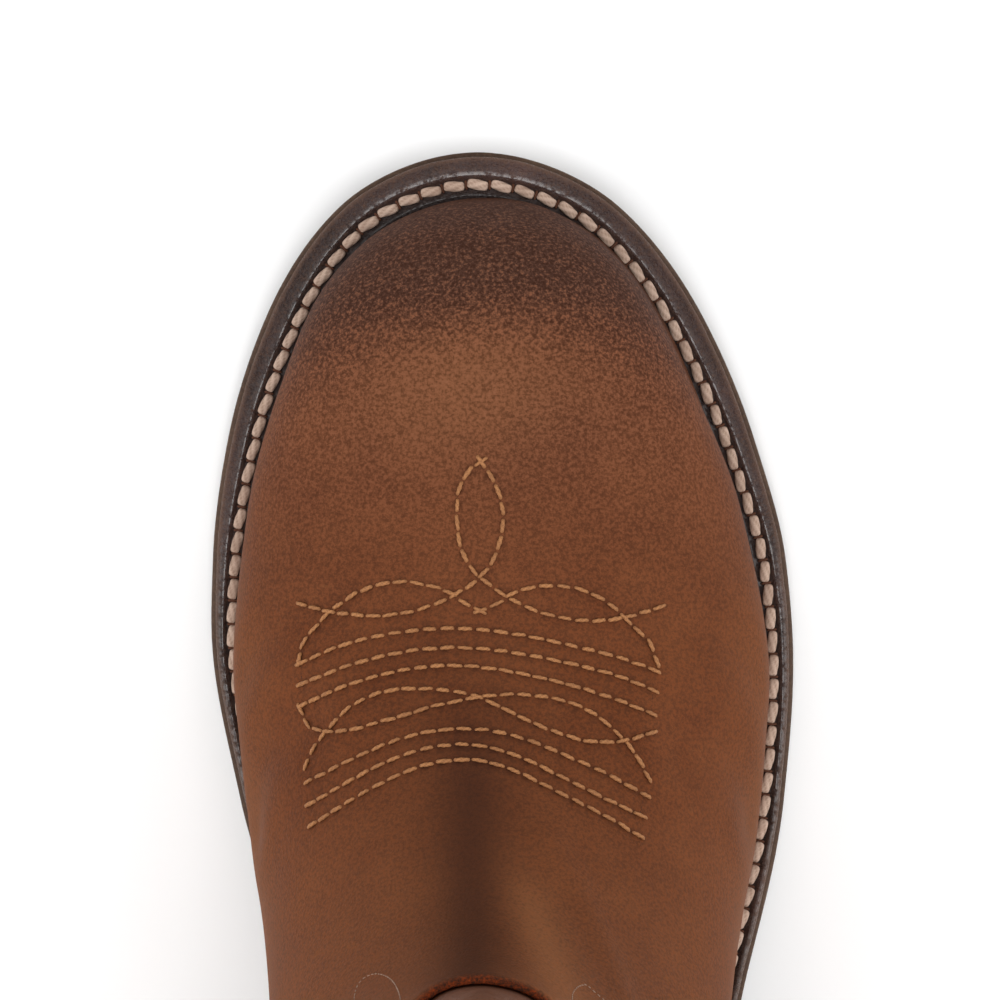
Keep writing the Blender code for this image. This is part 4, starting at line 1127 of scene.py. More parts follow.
class StitchRows:
    """Geometry Nodes that sew rows of stitches along lines on the boot."""

    def __init__(self) -> None:
        """Builds the tree once."""
        self.tree = bpy.data.node_groups.new("stitch_rows", "GeometryNodeTree")
        face = self.tree.interface
        face.new_socket("Geometry", in_out="INPUT", socket_type="NodeSocketGeometry")
        kinds = {
            "Stitch": "NodeSocketObject", "Pitch": "NodeSocketFloat", "Finish": "NodeSocketMaterial",
            "Seed": "NodeSocketInt", "Unevenness": "NodeSocketFloat", "Lean": "NodeSocketFloat",
        }
        self.sockets = {
            key: face.new_socket(key, in_out="INPUT", socket_type=kind).identifier for key, kind in kinds.items()
        }
        face.new_socket("Geometry", in_out="OUTPUT", socket_type="NodeSocketGeometry")
        nodes = Nodes(self.tree)
        given, put = nodes.add("NodeGroupInput"), nodes.add("NodeGroupOutput")
        curve = nodes.feed(nodes.add("GeometryNodeMeshToCurve"), Mesh=given.outputs["Geometry"])
        even = nodes.add("GeometryNodeResampleCurve", mode="LENGTH")
        nodes.feed(even, Curve=curve.outputs[0], Length=given.outputs["Pitch"])
        along = nodes.feed(
            nodes.add("FunctionNodeAlignRotationToVector", axis="X"), Vector=nodes.add("GeometryNodeInputTangent").outputs[0]
        )
        up = nodes.add("GeometryNodeInputNamedAttribute", data_type="FLOAT_VECTOR")
        nodes.feed(up, Name="surface_up")
        turned = nodes.add("FunctionNodeAlignRotationToVector", axis="Z", pivot_axis="X")
        nodes.feed(turned, Rotation=along.outputs[0], Vector=up.outputs[0])
        wild = nodes.add("FunctionNodeRandomValue", data_type="FLOAT_VECTOR")
        spread = nodes.add("ShaderNodeVectorMath", operation="SCALE")
        nodes.feed(wild, Min=(-1.0, -1.0, -1.0), Max=(1.0, 1.0, 1.0), Seed=given.outputs["Seed"])
        nodes.feed(spread, i0=wild.outputs[0], Scale=given.outputs["Unevenness"])
        size = nodes.feed(nodes.add("ShaderNodeVectorMath", operation="ADD"), i0=spread.outputs[0], i1=(1.0, 1.0, 1.0))
        lean = nodes.add("ShaderNodeVectorMath", operation="MULTIPLY")
        nodes.feed(lean, i0=spread.outputs[0], i1=(1.6, 0.5, 0.9))
        slant = nodes.feed(nodes.add("ShaderNodeCombineXYZ"), Z=given.outputs["Lean"])
        tilted = nodes.feed(nodes.add("ShaderNodeVectorMath", operation="ADD"), i0=lean.outputs[0], i1=slant.outputs[0])
        rolled = nodes.add("FunctionNodeRotateRotation", rotation_space="LOCAL")
        lean_turn = nodes.feed(nodes.add("FunctionNodeEulerToRotation"), Euler=tilted.outputs[0])
        nodes.feed(rolled, Rotation=turned.outputs[0], i1=lean_turn.outputs[0])
        shape = nodes.feed(nodes.add("GeometryNodeObjectInfo"), Object=given.outputs["Stitch"])
        sewn = nodes.add("GeometryNodeInstanceOnPoints")
        nodes.feed(
            sewn, Points=even.outputs[0], Instance=shape.outputs["Geometry"], Rotation=rolled.outputs[0], Scale=size.outputs[0]
        )
        real = nodes.feed(nodes.add("GeometryNodeRealizeInstances"), Geometry=sewn.outputs[0])
        finish = nodes.add("GeometryNodeSetMaterial")
        nodes.feed(finish, Geometry=real.outputs[0], Material=given.outputs["Finish"])
        nodes.feed(put, Geometry=finish.outputs[0])

    def sew(
        self,
        name: str,
        rows: list[tuple[np.ndarray, np.ndarray]],
        stitch: bpy.types.Object,
        pitch: float,
        material: bpy.types.Material,
        closed: bool = False,
        unevenness: float = 0.06,
        lean: float = 0.0,
    ) -> bpy.types.Object:
        """Sews stitches along rows.

        Args:
            name: The new piece's name.
            rows: Each row's dense points and the surface's normals there.
            stitch: The pattern of one stitch.
            pitch: The distance from stitch to stitch.
            material: The thread's material.
            closed: Whether each row runs on into its start.
            unevenness: How much the stitches differ in size and lean.
            lean: How far every stitch is turned from the row, in radians.

        Returns:
            The stitches as one plain mesh.
        """
        points = np.concatenate([row[0] for row in rows])
        ups = np.concatenate([row[1] for row in rows])
        edges, start = [], 0
        for row, _ in rows:
            count = len(row)
            edges += [(start + i, start + i + 1) for i in range(count - 1)]
            if closed:
                edges.append((start + count - 1, start))
            start += count
        mesh = bpy.data.meshes.new(name)
        mesh.from_pydata(points.tolist(), edges, [])
        up = mesh.attributes.new("surface_up", "FLOAT_VECTOR", "POINT")
        up.data.foreach_set("vector", np.asarray(ups, np.float32).ravel())
        obj = bpy.data.objects.new(name, mesh)
        bpy.context.scene.collection.objects.link(obj)
        modifier = obj.modifiers.new("stitches", "NODES")
        modifier.node_group = self.tree
        values = {
            "Stitch": stitch, "Pitch": pitch, "Finish": material, "Seed": len(name), "Unevenness": unevenness, "Lean": lean,
        }
        for key, value in values.items():
            modifier[self.sockets[key]] = value
        obj.update_tag()
        bpy.context.view_layer.update()
        graph = bpy.context.evaluated_depsgraph_get()
        solid = bpy.data.meshes.new_from_object(obj.evaluated_get(graph))
        obj.modifiers.remove(modifier)
        obj.data = solid
        bpy.data.meshes.remove(mesh)
        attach(obj, BODY)
        LOG.info("%s: %d faces of stitches", name, len(solid.polygons))
        return obj


class Side(Enum):
    """The two sides of the right foot."""

    MEDIAL = 1.0
    LATERAL = -1.0

    @property
    def word(self) -> str:
        """The side's name in plain letters."""
        return self.name.lower()


@dataclass
class Maker:
    """What every sub-assembly needs: the form, the relief, the finishes and the sewing."""

    form: BootForm
    relief: Relief
    wardrobe: Wardrobe
    rows: StitchRows
    fine: bpy.types.Object
    thick: bpy.types.Object
    tie: bpy.types.Object
    hair: bpy.types.Object

    FINE_PITCH: ClassVar[float] = 0.00312
    THICK_PITCH: ClassVar[float] = 0.00442
    THICK_LEAN: ClassVar[float] = -0.16

    @classmethod
    def ready(cls) -> "Maker":
        """Makes the finishes, the sewing and the patterns of the stitches."""
        fine = StitchShape(length=0.00275, width=0.00074, height=0.00060, twist=2.4, ply_depth=0.16, blunt=3.6, steps=14, around=8)
        thick = StitchShape(
            length=0.00405, width=0.00186, height=0.00135, plies=4, twist=0.8, ply_depth=0.06, blunt=7.0, steps=18, around=16
        )
        hair = StitchShape(length=0.00070, width=0.00022, height=0.00022, steps=4, around=5)
        tie = cls.tie_shape()
        return cls(
            FORM, Relief(FORM), Wardrobe(), StitchRows(), fine.make("fine_stitch"), thick.make("thick_stitch"), tie,
            hair.make("hair_stitch"),
        )

    @classmethod
    def tie_shape(cls) -> bpy.types.Object:
        """The loop of the under thread that shows between two thick stitches."""
        bar = StitchShape(length=0.00190, width=0.00062, height=0.00066, steps=8, around=6).make("tie_stitch")
        points = np.empty(len(bar.data.vertices) * 3)
        bar.data.vertices.foreach_get("co", points)
        points = points.reshape(-1, 3)[:, [1, 0, 2]] * np.array([-1.0, 1.0, 1.0])
        points[:, 0] += cls.THICK_PITCH / 2
        points[:, 2] -= 0.00012
        bar.data.vertices.foreach_set("co", points.ravel())
        return bar

    def surface_row(self, turns: np.ndarray, levels: np.ndarray, depth: float, lift: float) -> tuple[np.ndarray, np.ndarray]:
        """A row of dense points on a skin, lifted a little, with the normals there."""
        points, _ = self.relief.skin(turns, levels, np.full(np.shape(turns), depth), sewn=False)
        normals = self.form.normal(turns, levels)
        return points + normals * lift, normals


@dataclass
class Overlay:
    """An overlay of leather on the foot, from the feather edge to its top line: the vamp or the counter."""

    maker: Maker
    name: str
    turns: np.ndarray
    rows: int = 250
    back_stride: int = 10
    edge_round: float = 0.0005

    def build(self, extra: Callable[[np.ndarray], dict[str, np.ndarray]]) -> bpy.types.Object:
        """Builds the overlay as a closed shell.

        Args:
            extra: Gives more values for the points, by attribute name.

        Returns:
            The overlay.
        """
        form = self.maker.form
        top = form.overlay_top(self.turns)
        share = np.linspace(0, 1, self.rows)
        share = share * (0.75 + 0.25 * share)
        level = top[None, :] * share[:, None]
        turn = np.broadcast_to(self.turns, level.shape)
        outer, shade = self.maker.relief.skin(turn, level, self.edge_fall(level, top, turn))
        lips, lip_shade = [], []
        for depth, rise in ((0.0007, 0.00035), (0.0012, 0.0005), (0.0016, 0.00035)):
            points, _ = self.maker.relief.skin(turn[-1], top + rise / 0.44, np.full(len(top), depth))
            lips.append(points)
        back_rows = np.arange(self.rows - 1, -1, -self.back_stride)
        back_rows = np.append(back_rows, 0) if back_rows[-1] != 0 else back_rows
        inner, _ = self.maker.relief.skin(turn[back_rows], level[back_rows], np.full((len(back_rows), len(top)), form.overlay))
        lip_shade = np.zeros((len(lips), len(top)))
        points = np.concatenate([outer, np.array(lips), inner])
        raw = np.zeros(points.shape[:2])
        raw[self.rows - 1] = 0.7
        raw[self.rows:self.rows + len(lips) + 1] = 1.0
        values = {"raw_edge": raw, **extra(points)}
        sewn = np.concatenate([shade, lip_shade, np.zeros((len(back_rows), len(top)))])
        # Painted shade: the dents along the stitches, plus any painted shade that the piece gives as its dark value.
        values["shade"] = np.clip(sewn + values.pop("dark", 0.0), 0, 1)
        rows, columns = points.shape[:2]
        faces: list[Sequence[int]] = list(ring_faces(rows, columns, True, False))
        faces = self.cap_ends(faces, rows, columns, back_rows, len(lips))
        return face_out(add_mesh(self.name, points, faces, values))

    def edge_fall(self, level: np.ndarray, top: np.ndarray, turn: np.ndarray) -> np.ndarray:
        """How far the outer skin falls off towards the top line and the joins, as a worn edge does."""
        to_top = (top[None, :] - level) * 0.44
        to_end = (self.turns.max() - turn, turn - self.turns.min())
        to_end = np.minimum(*to_end) * 0.30
        to_edge = np.minimum(to_top, to_end)
        share = np.clip(1 - to_edge / 0.0016, 0, 1)
        return self.edge_round * share**2

    def cap_ends(
        self, faces: list[Sequence[int]], rows: int, columns: int, back_rows: np.ndarray, lips: int
    ) -> list[Sequence[int]]:
        """Closes the two ends of the shell with a ladder of faces."""
        front, first_back = self.rows, self.rows + lips
        for column, flip in ((0, False), (columns - 1, True)):
            def at(row: int) -> int:
                return row * columns + column

            ladder = [[at(front - 1)] + [at(front + k) for k in range(lips)] + [at(first_back)]]
            for k in range(len(back_rows) - 1):
                high, low = int(back_rows[k]), int(back_rows[k + 1])
                face = [at(row) for row in range(low, high + 1)]
                ladder.append(face + [at(first_back + k), at(first_back + k + 1)])
            for face in ladder:
                faces.append(face[::-1] if flip else face)
        return faces


@dataclass
class Vamp:
    """The vamp: a burnished toe, traditional toe stitching and a raw top edge on the front of the shaft."""

    maker: Maker
    columns: int = 300
    stitch_sink: float = 0.00012

    # Rows of the toe stitching, as picture points: a pointed leaf, crossing waves and nested arcs
    ROWS: ClassVar[dict[str, tuple[tuple[float, float], ...]]] = {
        "leaf_left": (
            (481, 462), (467, 474), (459, 491), (457, 519), (461, 547), (472, 569), (488, 584), (505, 596),
            (528, 608), (556, 617), (590, 621), (627, 617), (659, 607),
        ),
        "leaf_right": (
            (481, 462), (494, 482), (502, 508), (501, 537), (492, 562), (478, 579), (457, 594), (433, 605),
            (406, 613), (374, 616), (346, 614), (322, 610), (302, 604),
        ),
        "upper_wave_left": (
            (480, 611), (466, 604), (451, 594), (433, 587), (398, 582), (370, 588), (346, 600), (326, 616),
            (312, 632), (302, 648), (300, 660),
        ),
        "upper_wave_right": (
            (480, 611), (495, 605), (508, 596), (530, 588), (556, 586), (584, 591), (607, 603), (627, 621),
            (643, 637), (653, 650), (656, 662),
        ),
        "arc_one": ((302, 663), (348, 644), (398, 633), (440, 629), (480, 630), (530, 637), (580, 648), (622, 659), (654, 671)),
        "arc_two": ((303, 684), (355, 664), (405, 652), (450, 648), (490, 650), (535, 657), (587, 668), (625, 679), (653, 691)),
        "arc_three": ((303, 705), (352, 684), (406, 670), (457, 666), (510, 672), (560, 683), (610, 698), (651, 714)),
        "lower_wave_one": (
            (301, 709), (308, 724), (324, 731), (350, 730), (378, 723), (406, 715), (437, 706), (477, 698),
            (508, 695), (540, 697), (572, 704), (596, 716), (617, 734), (634, 753), (647, 777),
        ),
        "lower_wave_two": (
            (307, 765), (316, 746), (331, 727), (350, 708), (378, 694), (407, 689), (437, 690), (461, 693),
            (480, 698), (503, 709), (530, 722), (560, 734), (592, 742), (624, 741), (651, 733),
        ),
        "crest_one": ((309, 782), (358, 757), (402, 739), (440, 731), (480, 730), (525, 740), (572, 759), (611, 777), (645, 796)),
        "crest_two": ((311, 804), (358, 777), (400, 757), (437, 747), (477, 746), (518, 757), (560, 777), (602, 798), (640, 816)),
        "crest_three": ((313, 825), (358, 797), (400, 775), (437, 763), (477, 761), (518, 773), (560, 794), (600, 814), (638, 836)),
    }
    # Dark thread carried down between the ends of two rows, as picture points
    JOGS: ClassVar[tuple[tuple[tuple[float, float], ...], ...]] = (
        ((302, 664), (301, 674), (303, 684)), ((656, 661), (656, 667), (654, 672)), ((653, 692), (652, 703), (651, 714)),
        ((480, 604), (481, 608), (480, 612)), ((644, 796), (642, 806), (640, 815)),
    )
    # Hair-fine loops beside the tongue, as picture points
    LOOPS: ClassVar[tuple[tuple[tuple[float, float], ...], ...]] = (
        ((354, 1004), (356, 990), (363, 979), (376, 974), (389, 978), (397, 988), (400, 1004), (391, 1009), (377, 1011), (363, 1009), (354, 1004)),
        ((572, 1004), (573, 993), (578, 987), (586, 985), (592, 990), (599, 996), (606, 1004), (600, 1010), (589, 1013), (578, 1010), (572, 1004)),
    )

    def values(self, points: np.ndarray) -> dict[str, np.ndarray]:
        """How dark the toe is burnished, how far the leather is rubbed pale, and where highlights and shade are
        painted.
        """
        form = self.maker.form
        across, forward, height = points[..., 0], form.heel_length / 2 - points[..., 1], points[..., 2]
        reach = np.sqrt(((across + 0.001) / 0.060) ** 2 + (np.clip(forward - 0.219, 0, None) / 0.0545) ** 2)
        burnt = smooth_step(0.37, 0.77, reach) * smooth_step(0.226, 0.260, forward)
        rim = smooth_step(0.016, 0.007, height - form.feather_line(forward))
        burnt = np.maximum(burnt, 0.62 * rim * smooth_step(0.215, 0.250, forward))
        low = smooth_step(0.050, 0.018, height - form.feather_line(forward))
        rubbed = low * smooth_step(0.222, 0.18, forward) * 0.55 + 0.22 * smooth_step(0.175, 0.145, forward)
        # A paler patch on the top of the toe: partly the leather's own colour, partly a painted highlight.
        toe_highlight = np.exp(-(((across - 0.003) / 0.020) ** 2) - ((forward - 0.2385) / 0.013) ** 2)
        # Painted shade down the steep front of the instep: a narrow core and a broad, fainter spread, kept as the dark
        # value.
        ridge_shade = np.exp(-(((across - 0.0021) / 0.0066) ** 2))
        dark = 0.62 * ridge_shade * smooth_step(0.188, 0.164, forward) * smooth_step(0.1265, 0.134, forward)
        dark += 0.22 * np.exp(-((across - 0.004) / 0.017) ** 2) * smooth_step(0.205, 0.180, forward)
        # Painted highlight along the fold ridge on the outer side of the instep; it also thins the painted shade there.
        fold = np.exp(-(((across + 0.0075 + 0.40 * (0.148 - forward)) / 0.0042) ** 2)) * smooth_step(0.158, 0.142, forward)
        # The rubbed value holds real rubbing together with both painted highlights.
        return {
            "burnt": burnt,
            "rubbed": np.clip(rubbed + 0.55 * toe_highlight + 0.7 * fold, 0, 1),
            "haze": smooth_step(0.185, 0.258, forward),
            "dark": np.clip(dark, 0, 1) * (1 - 0.6 * fold),
        }

    def build(self) -> None:
        """Builds the vamp and sews its rows."""
        maker = self.maker
        lines = [VIEW.onto(maker.relief.plain, smooth_path(row, 160)) for row in self.ROWS.values()]
        maker.relief.stitched([points for points, _ in lines], maker.FINE_PITCH, 0.00034, 0.00095)
        join = maker.form.JOIN_TURN - 0.0006
        vamp = Overlay(maker, "vamp_leather", np.linspace(-join, join, self.columns)).build(self.values)
        maker.wardrobe.dress(vamp, Wardrobe.VAMP, "vamp_leather")
        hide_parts("vamp")
        tree = BVHTree.FromPolygons([v.co[:] for v in vamp.data.vertices], [p.vertices[:] for p in vamp.data.polygons])
        rows = []
        for row in self.ROWS.values():
            points, normals = VIEW.onto(tree, smooth_path(row, 160))
            rows.append((points - normals * self.stitch_sink + normals * 0.00034, normals))
        fine = maker.wardrobe.get(Wardrobe.FINE)
        maker.rows.sew("toe_stitching", rows, maker.fine, maker.FINE_PITCH, fine, unevenness=0.12)
        jogs = []
        for jog in self.JOGS:
            points, normals = VIEW.onto(tree, smooth_path(jog, 30))
            jogs.append((points - normals * 0.00012, normals))
        dark = maker.wardrobe.get(Wardrobe.DARK)
        maker.rows.sew("row_end_threads", jogs, maker.hair, 0.00058, dark, unevenness=0.1)
        loops = []
        for loop in self.LOOPS:
            points, normals = VIEW.onto(tree, smooth_path(loop, 90))
            loops.append((points, normals))
        pale = maker.wardrobe.get(Wardrobe.PALE)
        maker.rows.sew("tongue_loops", loops, maker.hair, 0.00105, pale, unevenness=0.2)


@dataclass
class Counter:
    """The counter round the heel, with two rows of stitches along its top edge."""

    maker: Maker
    columns: int = 180
    tongue_side: float = 0.22

    def values(self, points: np.ndarray) -> dict[str, np.ndarray]:
        """Darker low on the heel, and rubbed paler higher up."""
        form = self.maker.form
        forward, height = form.heel_length / 2 - points[..., 1], points[..., 2]
        low = smooth_step(0.030, 0.006, height - form.feather_line(forward))
        return {"burnt": 0.35 * low, "rubbed": 0.35 * smooth_step(0.02, 0.05, height - form.feather_line(forward))}

    def build(self) -> None:
        """Builds the counter and sews both overlays' top edges."""
        maker = self.maker
        join = maker.form.JOIN_TURN + 0.0006
        turns = np.linspace(join, 2 - join, self.columns)
        counter = Overlay(maker, "counter_leather", turns, rows=120).build(self.values)
        maker.wardrobe.dress(counter, Wardrobe.VAMP, "vamp_leather")
        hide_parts("counter")
        fine = maker.wardrobe.get(Wardrobe.FINE)
        rows = []
        beside, last = self.tongue_side, maker.form.JOIN_TURN - 0.02
        for start, end in ((-last, -beside), (beside, last), (join + 0.02, 2 - join - 0.02)):
            for below in (0.0035, 0.0062):
                along = np.linspace(start, end, 500)
                rows.append(maker.surface_row(along, maker.form.overlay_top(along) - below / 0.44, 0.0, 0.0002))
        for sign in (1.0, -1.0):
            for behind in (0.0035, 0.0062):
                levels = np.linspace(0.03, float(maker.form.overlay_top(join)) - 0.012, 200)
                along = np.full(200, sign * (join + behind / 0.30))
                rows.append(maker.surface_row(along, levels, 0.0, 0.0002))
        edge = maker.rows.sew("overlay_stitching", rows, maker.fine, maker.FINE_PITCH, fine, unevenness=0.08)


@dataclass
class Shaft:
    """The hollow upper: a shaft with folds at the ankle, its lining, and plain rows of stitches."""

    maker: Maker
    columns: int = 260
    outer_rows: int = 150
    inner_rows: int = 60

    def build(self) -> None:
        """Builds the shaft and its lining as one closed shell in two finishes."""
        maker, form = self.maker, self.maker.form
        turns = np.linspace(-1, 1, self.columns, endpoint=False)
        top = form.overlay_top(turns)
        covered = np.linspace(0, 1, 29)[:-1, None] * (top - 0.03)[None, :]
        shown = (top - 0.03)[None, :] + np.linspace(0, 1, self.outer_rows)[:, None] * (1.03 - top)[None, :]
        level = np.concatenate([covered, shown])
        turn = np.broadcast_to(turns, level.shape)
        outer, shade = maker.relief.skin(turn, level, np.full(level.shape, form.depth_of_upper), sewn=False)
        inner_level = np.linspace(1, 0, self.inner_rows)[:, None] * np.ones(len(turns))[None, :]
        inner_turn = np.broadcast_to(turns, inner_level.shape)
        depth = np.full(inner_level.shape, form.depth_of_upper + form.wall)
        inner, _ = maker.relief.skin(inner_turn, inner_level, depth, sewn=False)
        points = np.concatenate([outer, inner])
        height = points[..., 2]
        rubbed = 0.30 + 0.25 * smooth_step(0.16, 0.26, height)
        above = (level - top[None, :]) * 0.44
        # Painted shade: a shadow just above the vamp's top edge, and a softer darkening low on the front of the shaft.
        edge_shade = smooth_step(0.016, 0.0, above) * (level >= top[None, :] - 0.004)
        edge_shade = np.maximum(edge_shade, 0.6 * smooth_step(0.085, 0.03, above) * smooth_step(0.20, 0.05, np.abs(turn)))
        shade = np.concatenate([np.clip(shade + 0.8 * edge_shade, 0, 1), np.zeros(inner.shape[:2])])
        rows = len(points)
        values = {"shade": shade, "rubbed": rubbed, "burnt": 0 * rubbed, "raw_edge": 0 * rubbed}
        shaft = face_out(add_mesh("shaft_leather", points, ring_faces(rows, self.columns, True, True), values))
        maker.wardrobe.dress(shaft, Wardrobe.SHAFT, "shaft_leather")
        shaft.data.materials.append(maker.wardrobe.get(Wardrobe.LINING))
        inside = np.zeros((rows, self.columns), int)
        inside[len(outer) - 1:rows - 1] = 1
        shaft.data.polygons.foreach_set("material_index", inside.ravel())
        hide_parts("upper")
        self.sew()

    def sew(self) -> None:
        """Sews plain rows on the front and back panels of the shaft."""
        maker = self.maker
        rows = []
        for centre in (0.0, 1.0):
            for inset in (0.00, 0.045, 0.09):
                width, low, high = 0.30 - inset, 0.715 + inset * 0.6, 0.93 - inset * 0.6
                around = np.linspace(0, 2 * np.pi, 700)
                across = width * np.sign(np.cos(around)) * np.abs(np.cos(around)) ** 0.8
                wave = 1 + 0.12 * np.cos(6 * around)
                level = (low + high) / 2 + (high - low) / 2 * np.sin(around) * wave
                rows.append(maker.surface_row(centre + across, level, maker.form.depth_of_upper, 0.0002))
        fine = maker.wardrobe.get(Wardrobe.FINE)
        sewn = maker.rows.sew("shaft_stitching", rows, maker.fine, maker.FINE_PITCH, fine, unevenness=0.08)


@dataclass
class Welt:
    """The welt: a waxed strip with a channel that holds the thick lockstitch."""

    maker: Maker
    count: int = 520
    inside: float = 0.0125

    # share of the sole's length, distance of the stitches in from the sole's edge (metres)
    STITCH_LINE: ClassVar[Table] = (
        (0.00, 0.0036), (0.30, 0.0034), (0.55, 0.0036), (0.70, 0.0041), (0.80, 0.0051), (0.90, 0.0059), (1.00, 0.0061),
    )
    # distance out from the stitches (metres), rise of the surface (metres)
    SECTION: ClassVar[Table] = (
        (-0.0080, -0.0002), (-0.0030, 0.0000), (-0.0019, 0.0001), (-0.0011, -0.00035), (0.0000, -0.0006),
        (0.0010, -0.00035), (0.0017, 0.00022), (0.0024, 0.0001), (0.0033, -0.00015), (0.0045, -0.0002), (0.0080, -0.0002),
    )

    def at(self, points: np.ndarray, normals: np.ndarray, inward: float | np.ndarray) -> np.ndarray:
        """Plan points a distance in from the outline."""
        return points - normals * np.reshape(inward, (-1, 1) if np.ndim(inward) else ())

    def build(self) -> None:
        """Builds the welt and sews it."""
        maker, form = self.maker, self.maker.form
        ring, normals = form.sole_ring(self.count)
        share = (form.heel_length / 2 - ring[:, 1]) / form.sole_length
        line = table_curve(self.STITCH_LINE, 1, share)
        rng = np.random.default_rng(4)
        rough = np.convolve(np.tile(rng.normal(0, 1, self.count), 3), np.ones(5) / 5, "same")[self.count:2 * self.count]
        inward = np.concatenate([
            [0.0, 0.00012, 0.0004], np.linspace(0.0009, 0.0100, 34), [0.0112, self.inside]
        ])
        sections, shades, waxes, bares = [], [], [], []
        for depth_in in inward:
            plan = self.at(ring, normals, form.welt_setback + depth_in + 0.00007 * rough * (depth_in < 0.0012))
            forward = form.heel_length / 2 - plan[:, 1]
            out = line - form.welt_setback - depth_in
            rise = table_curve(self.SECTION, 1, out)
            edge = -0.00065 * np.clip(1 - depth_in / 0.0006, 0, 1) ** 2
            sections.append(np.column_stack([plan, form.welt_top(forward) + rise + edge]))
            # Painted shade in the stitch channel and along the inner strip, under the upper's edge.
            shades.append(np.exp(-((out / 0.0013) ** 2)) * 0.75 + 0.9 * smooth_step(-0.0006, -0.0022, out))
            waxes.append(np.exp(-(((out - 0.0018) / 0.0008) ** 2)) + 0.5 * np.exp(-(((out + 0.0016) / 0.0006) ** 2)))
            bares.append(0.65 * np.clip(1 - depth_in / 0.0010, 0, 1) + 0 * out)
        for depth_in in (self.inside, 0.0060, 0.0002, 0.0):
            plan = self.at(ring, normals, form.welt_setback + depth_in)
            low = form.outsole_top(form.heel_length / 2 - plan[:, 1]) + form.clearance
            sections.append(np.column_stack([plan, low + (0.0002 if depth_in == 0.0 else 0.0)]))
            for values in (shades, waxes, bares):
                values.append(np.zeros(self.count))
        points = np.array(sections)
        values = {"shade": np.clip(shades, 0, 1), "waxed": np.clip(waxes, 0, 1), "bared": np.clip(bares, 0, 1)}
        welt = face_out(add_mesh("welt_strip", points, ring_faces(len(points), self.count, True, True), values))
        maker.wardrobe.dress(welt, Wardrobe.WELT, "welt_leather")
        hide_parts("welt")
        self.sew(line)

    def sew(self, line: np.ndarray) -> None:
        """Sews the thick lockstitch all the way round, with the under thread showing between the stitches."""
        maker, form = self.maker, self.maker.form
        ring, normals = form.sole_ring(self.count)
        plan = self.at(ring, normals, line)
        forward = form.heel_length / 2 - plan[:, 1]
        height = form.welt_top(forward) - 0.0006 + 0.00038
        points = np.column_stack([plan, height])
        along = unit(np.roll(points, -1, axis=0) - np.roll(points, 1, axis=0))
        across = np.column_stack([normals, np.zeros(len(normals))])
        ups = unit(np.cross(along, across))
        ups *= np.sign(ups[:, 2:3])
        length = np.linalg.norm(np.diff(points, axis=0, append=points[:1]), axis=1).sum()
        pitch = length / round(length / maker.THICK_PITCH)
        for name, stitch, finish, uneven, lean in (
            ("welt_stitching", maker.thick, Wardrobe.THICK, 0.045, maker.THICK_LEAN),
            ("welt_ties", maker.tie, Wardrobe.TIE, 0.03, 0.0),
        ):
            sewn = maker.rows.sew(name, [(points, ups)], stitch, pitch, maker.wardrobe.get(finish), True, uneven, lean)


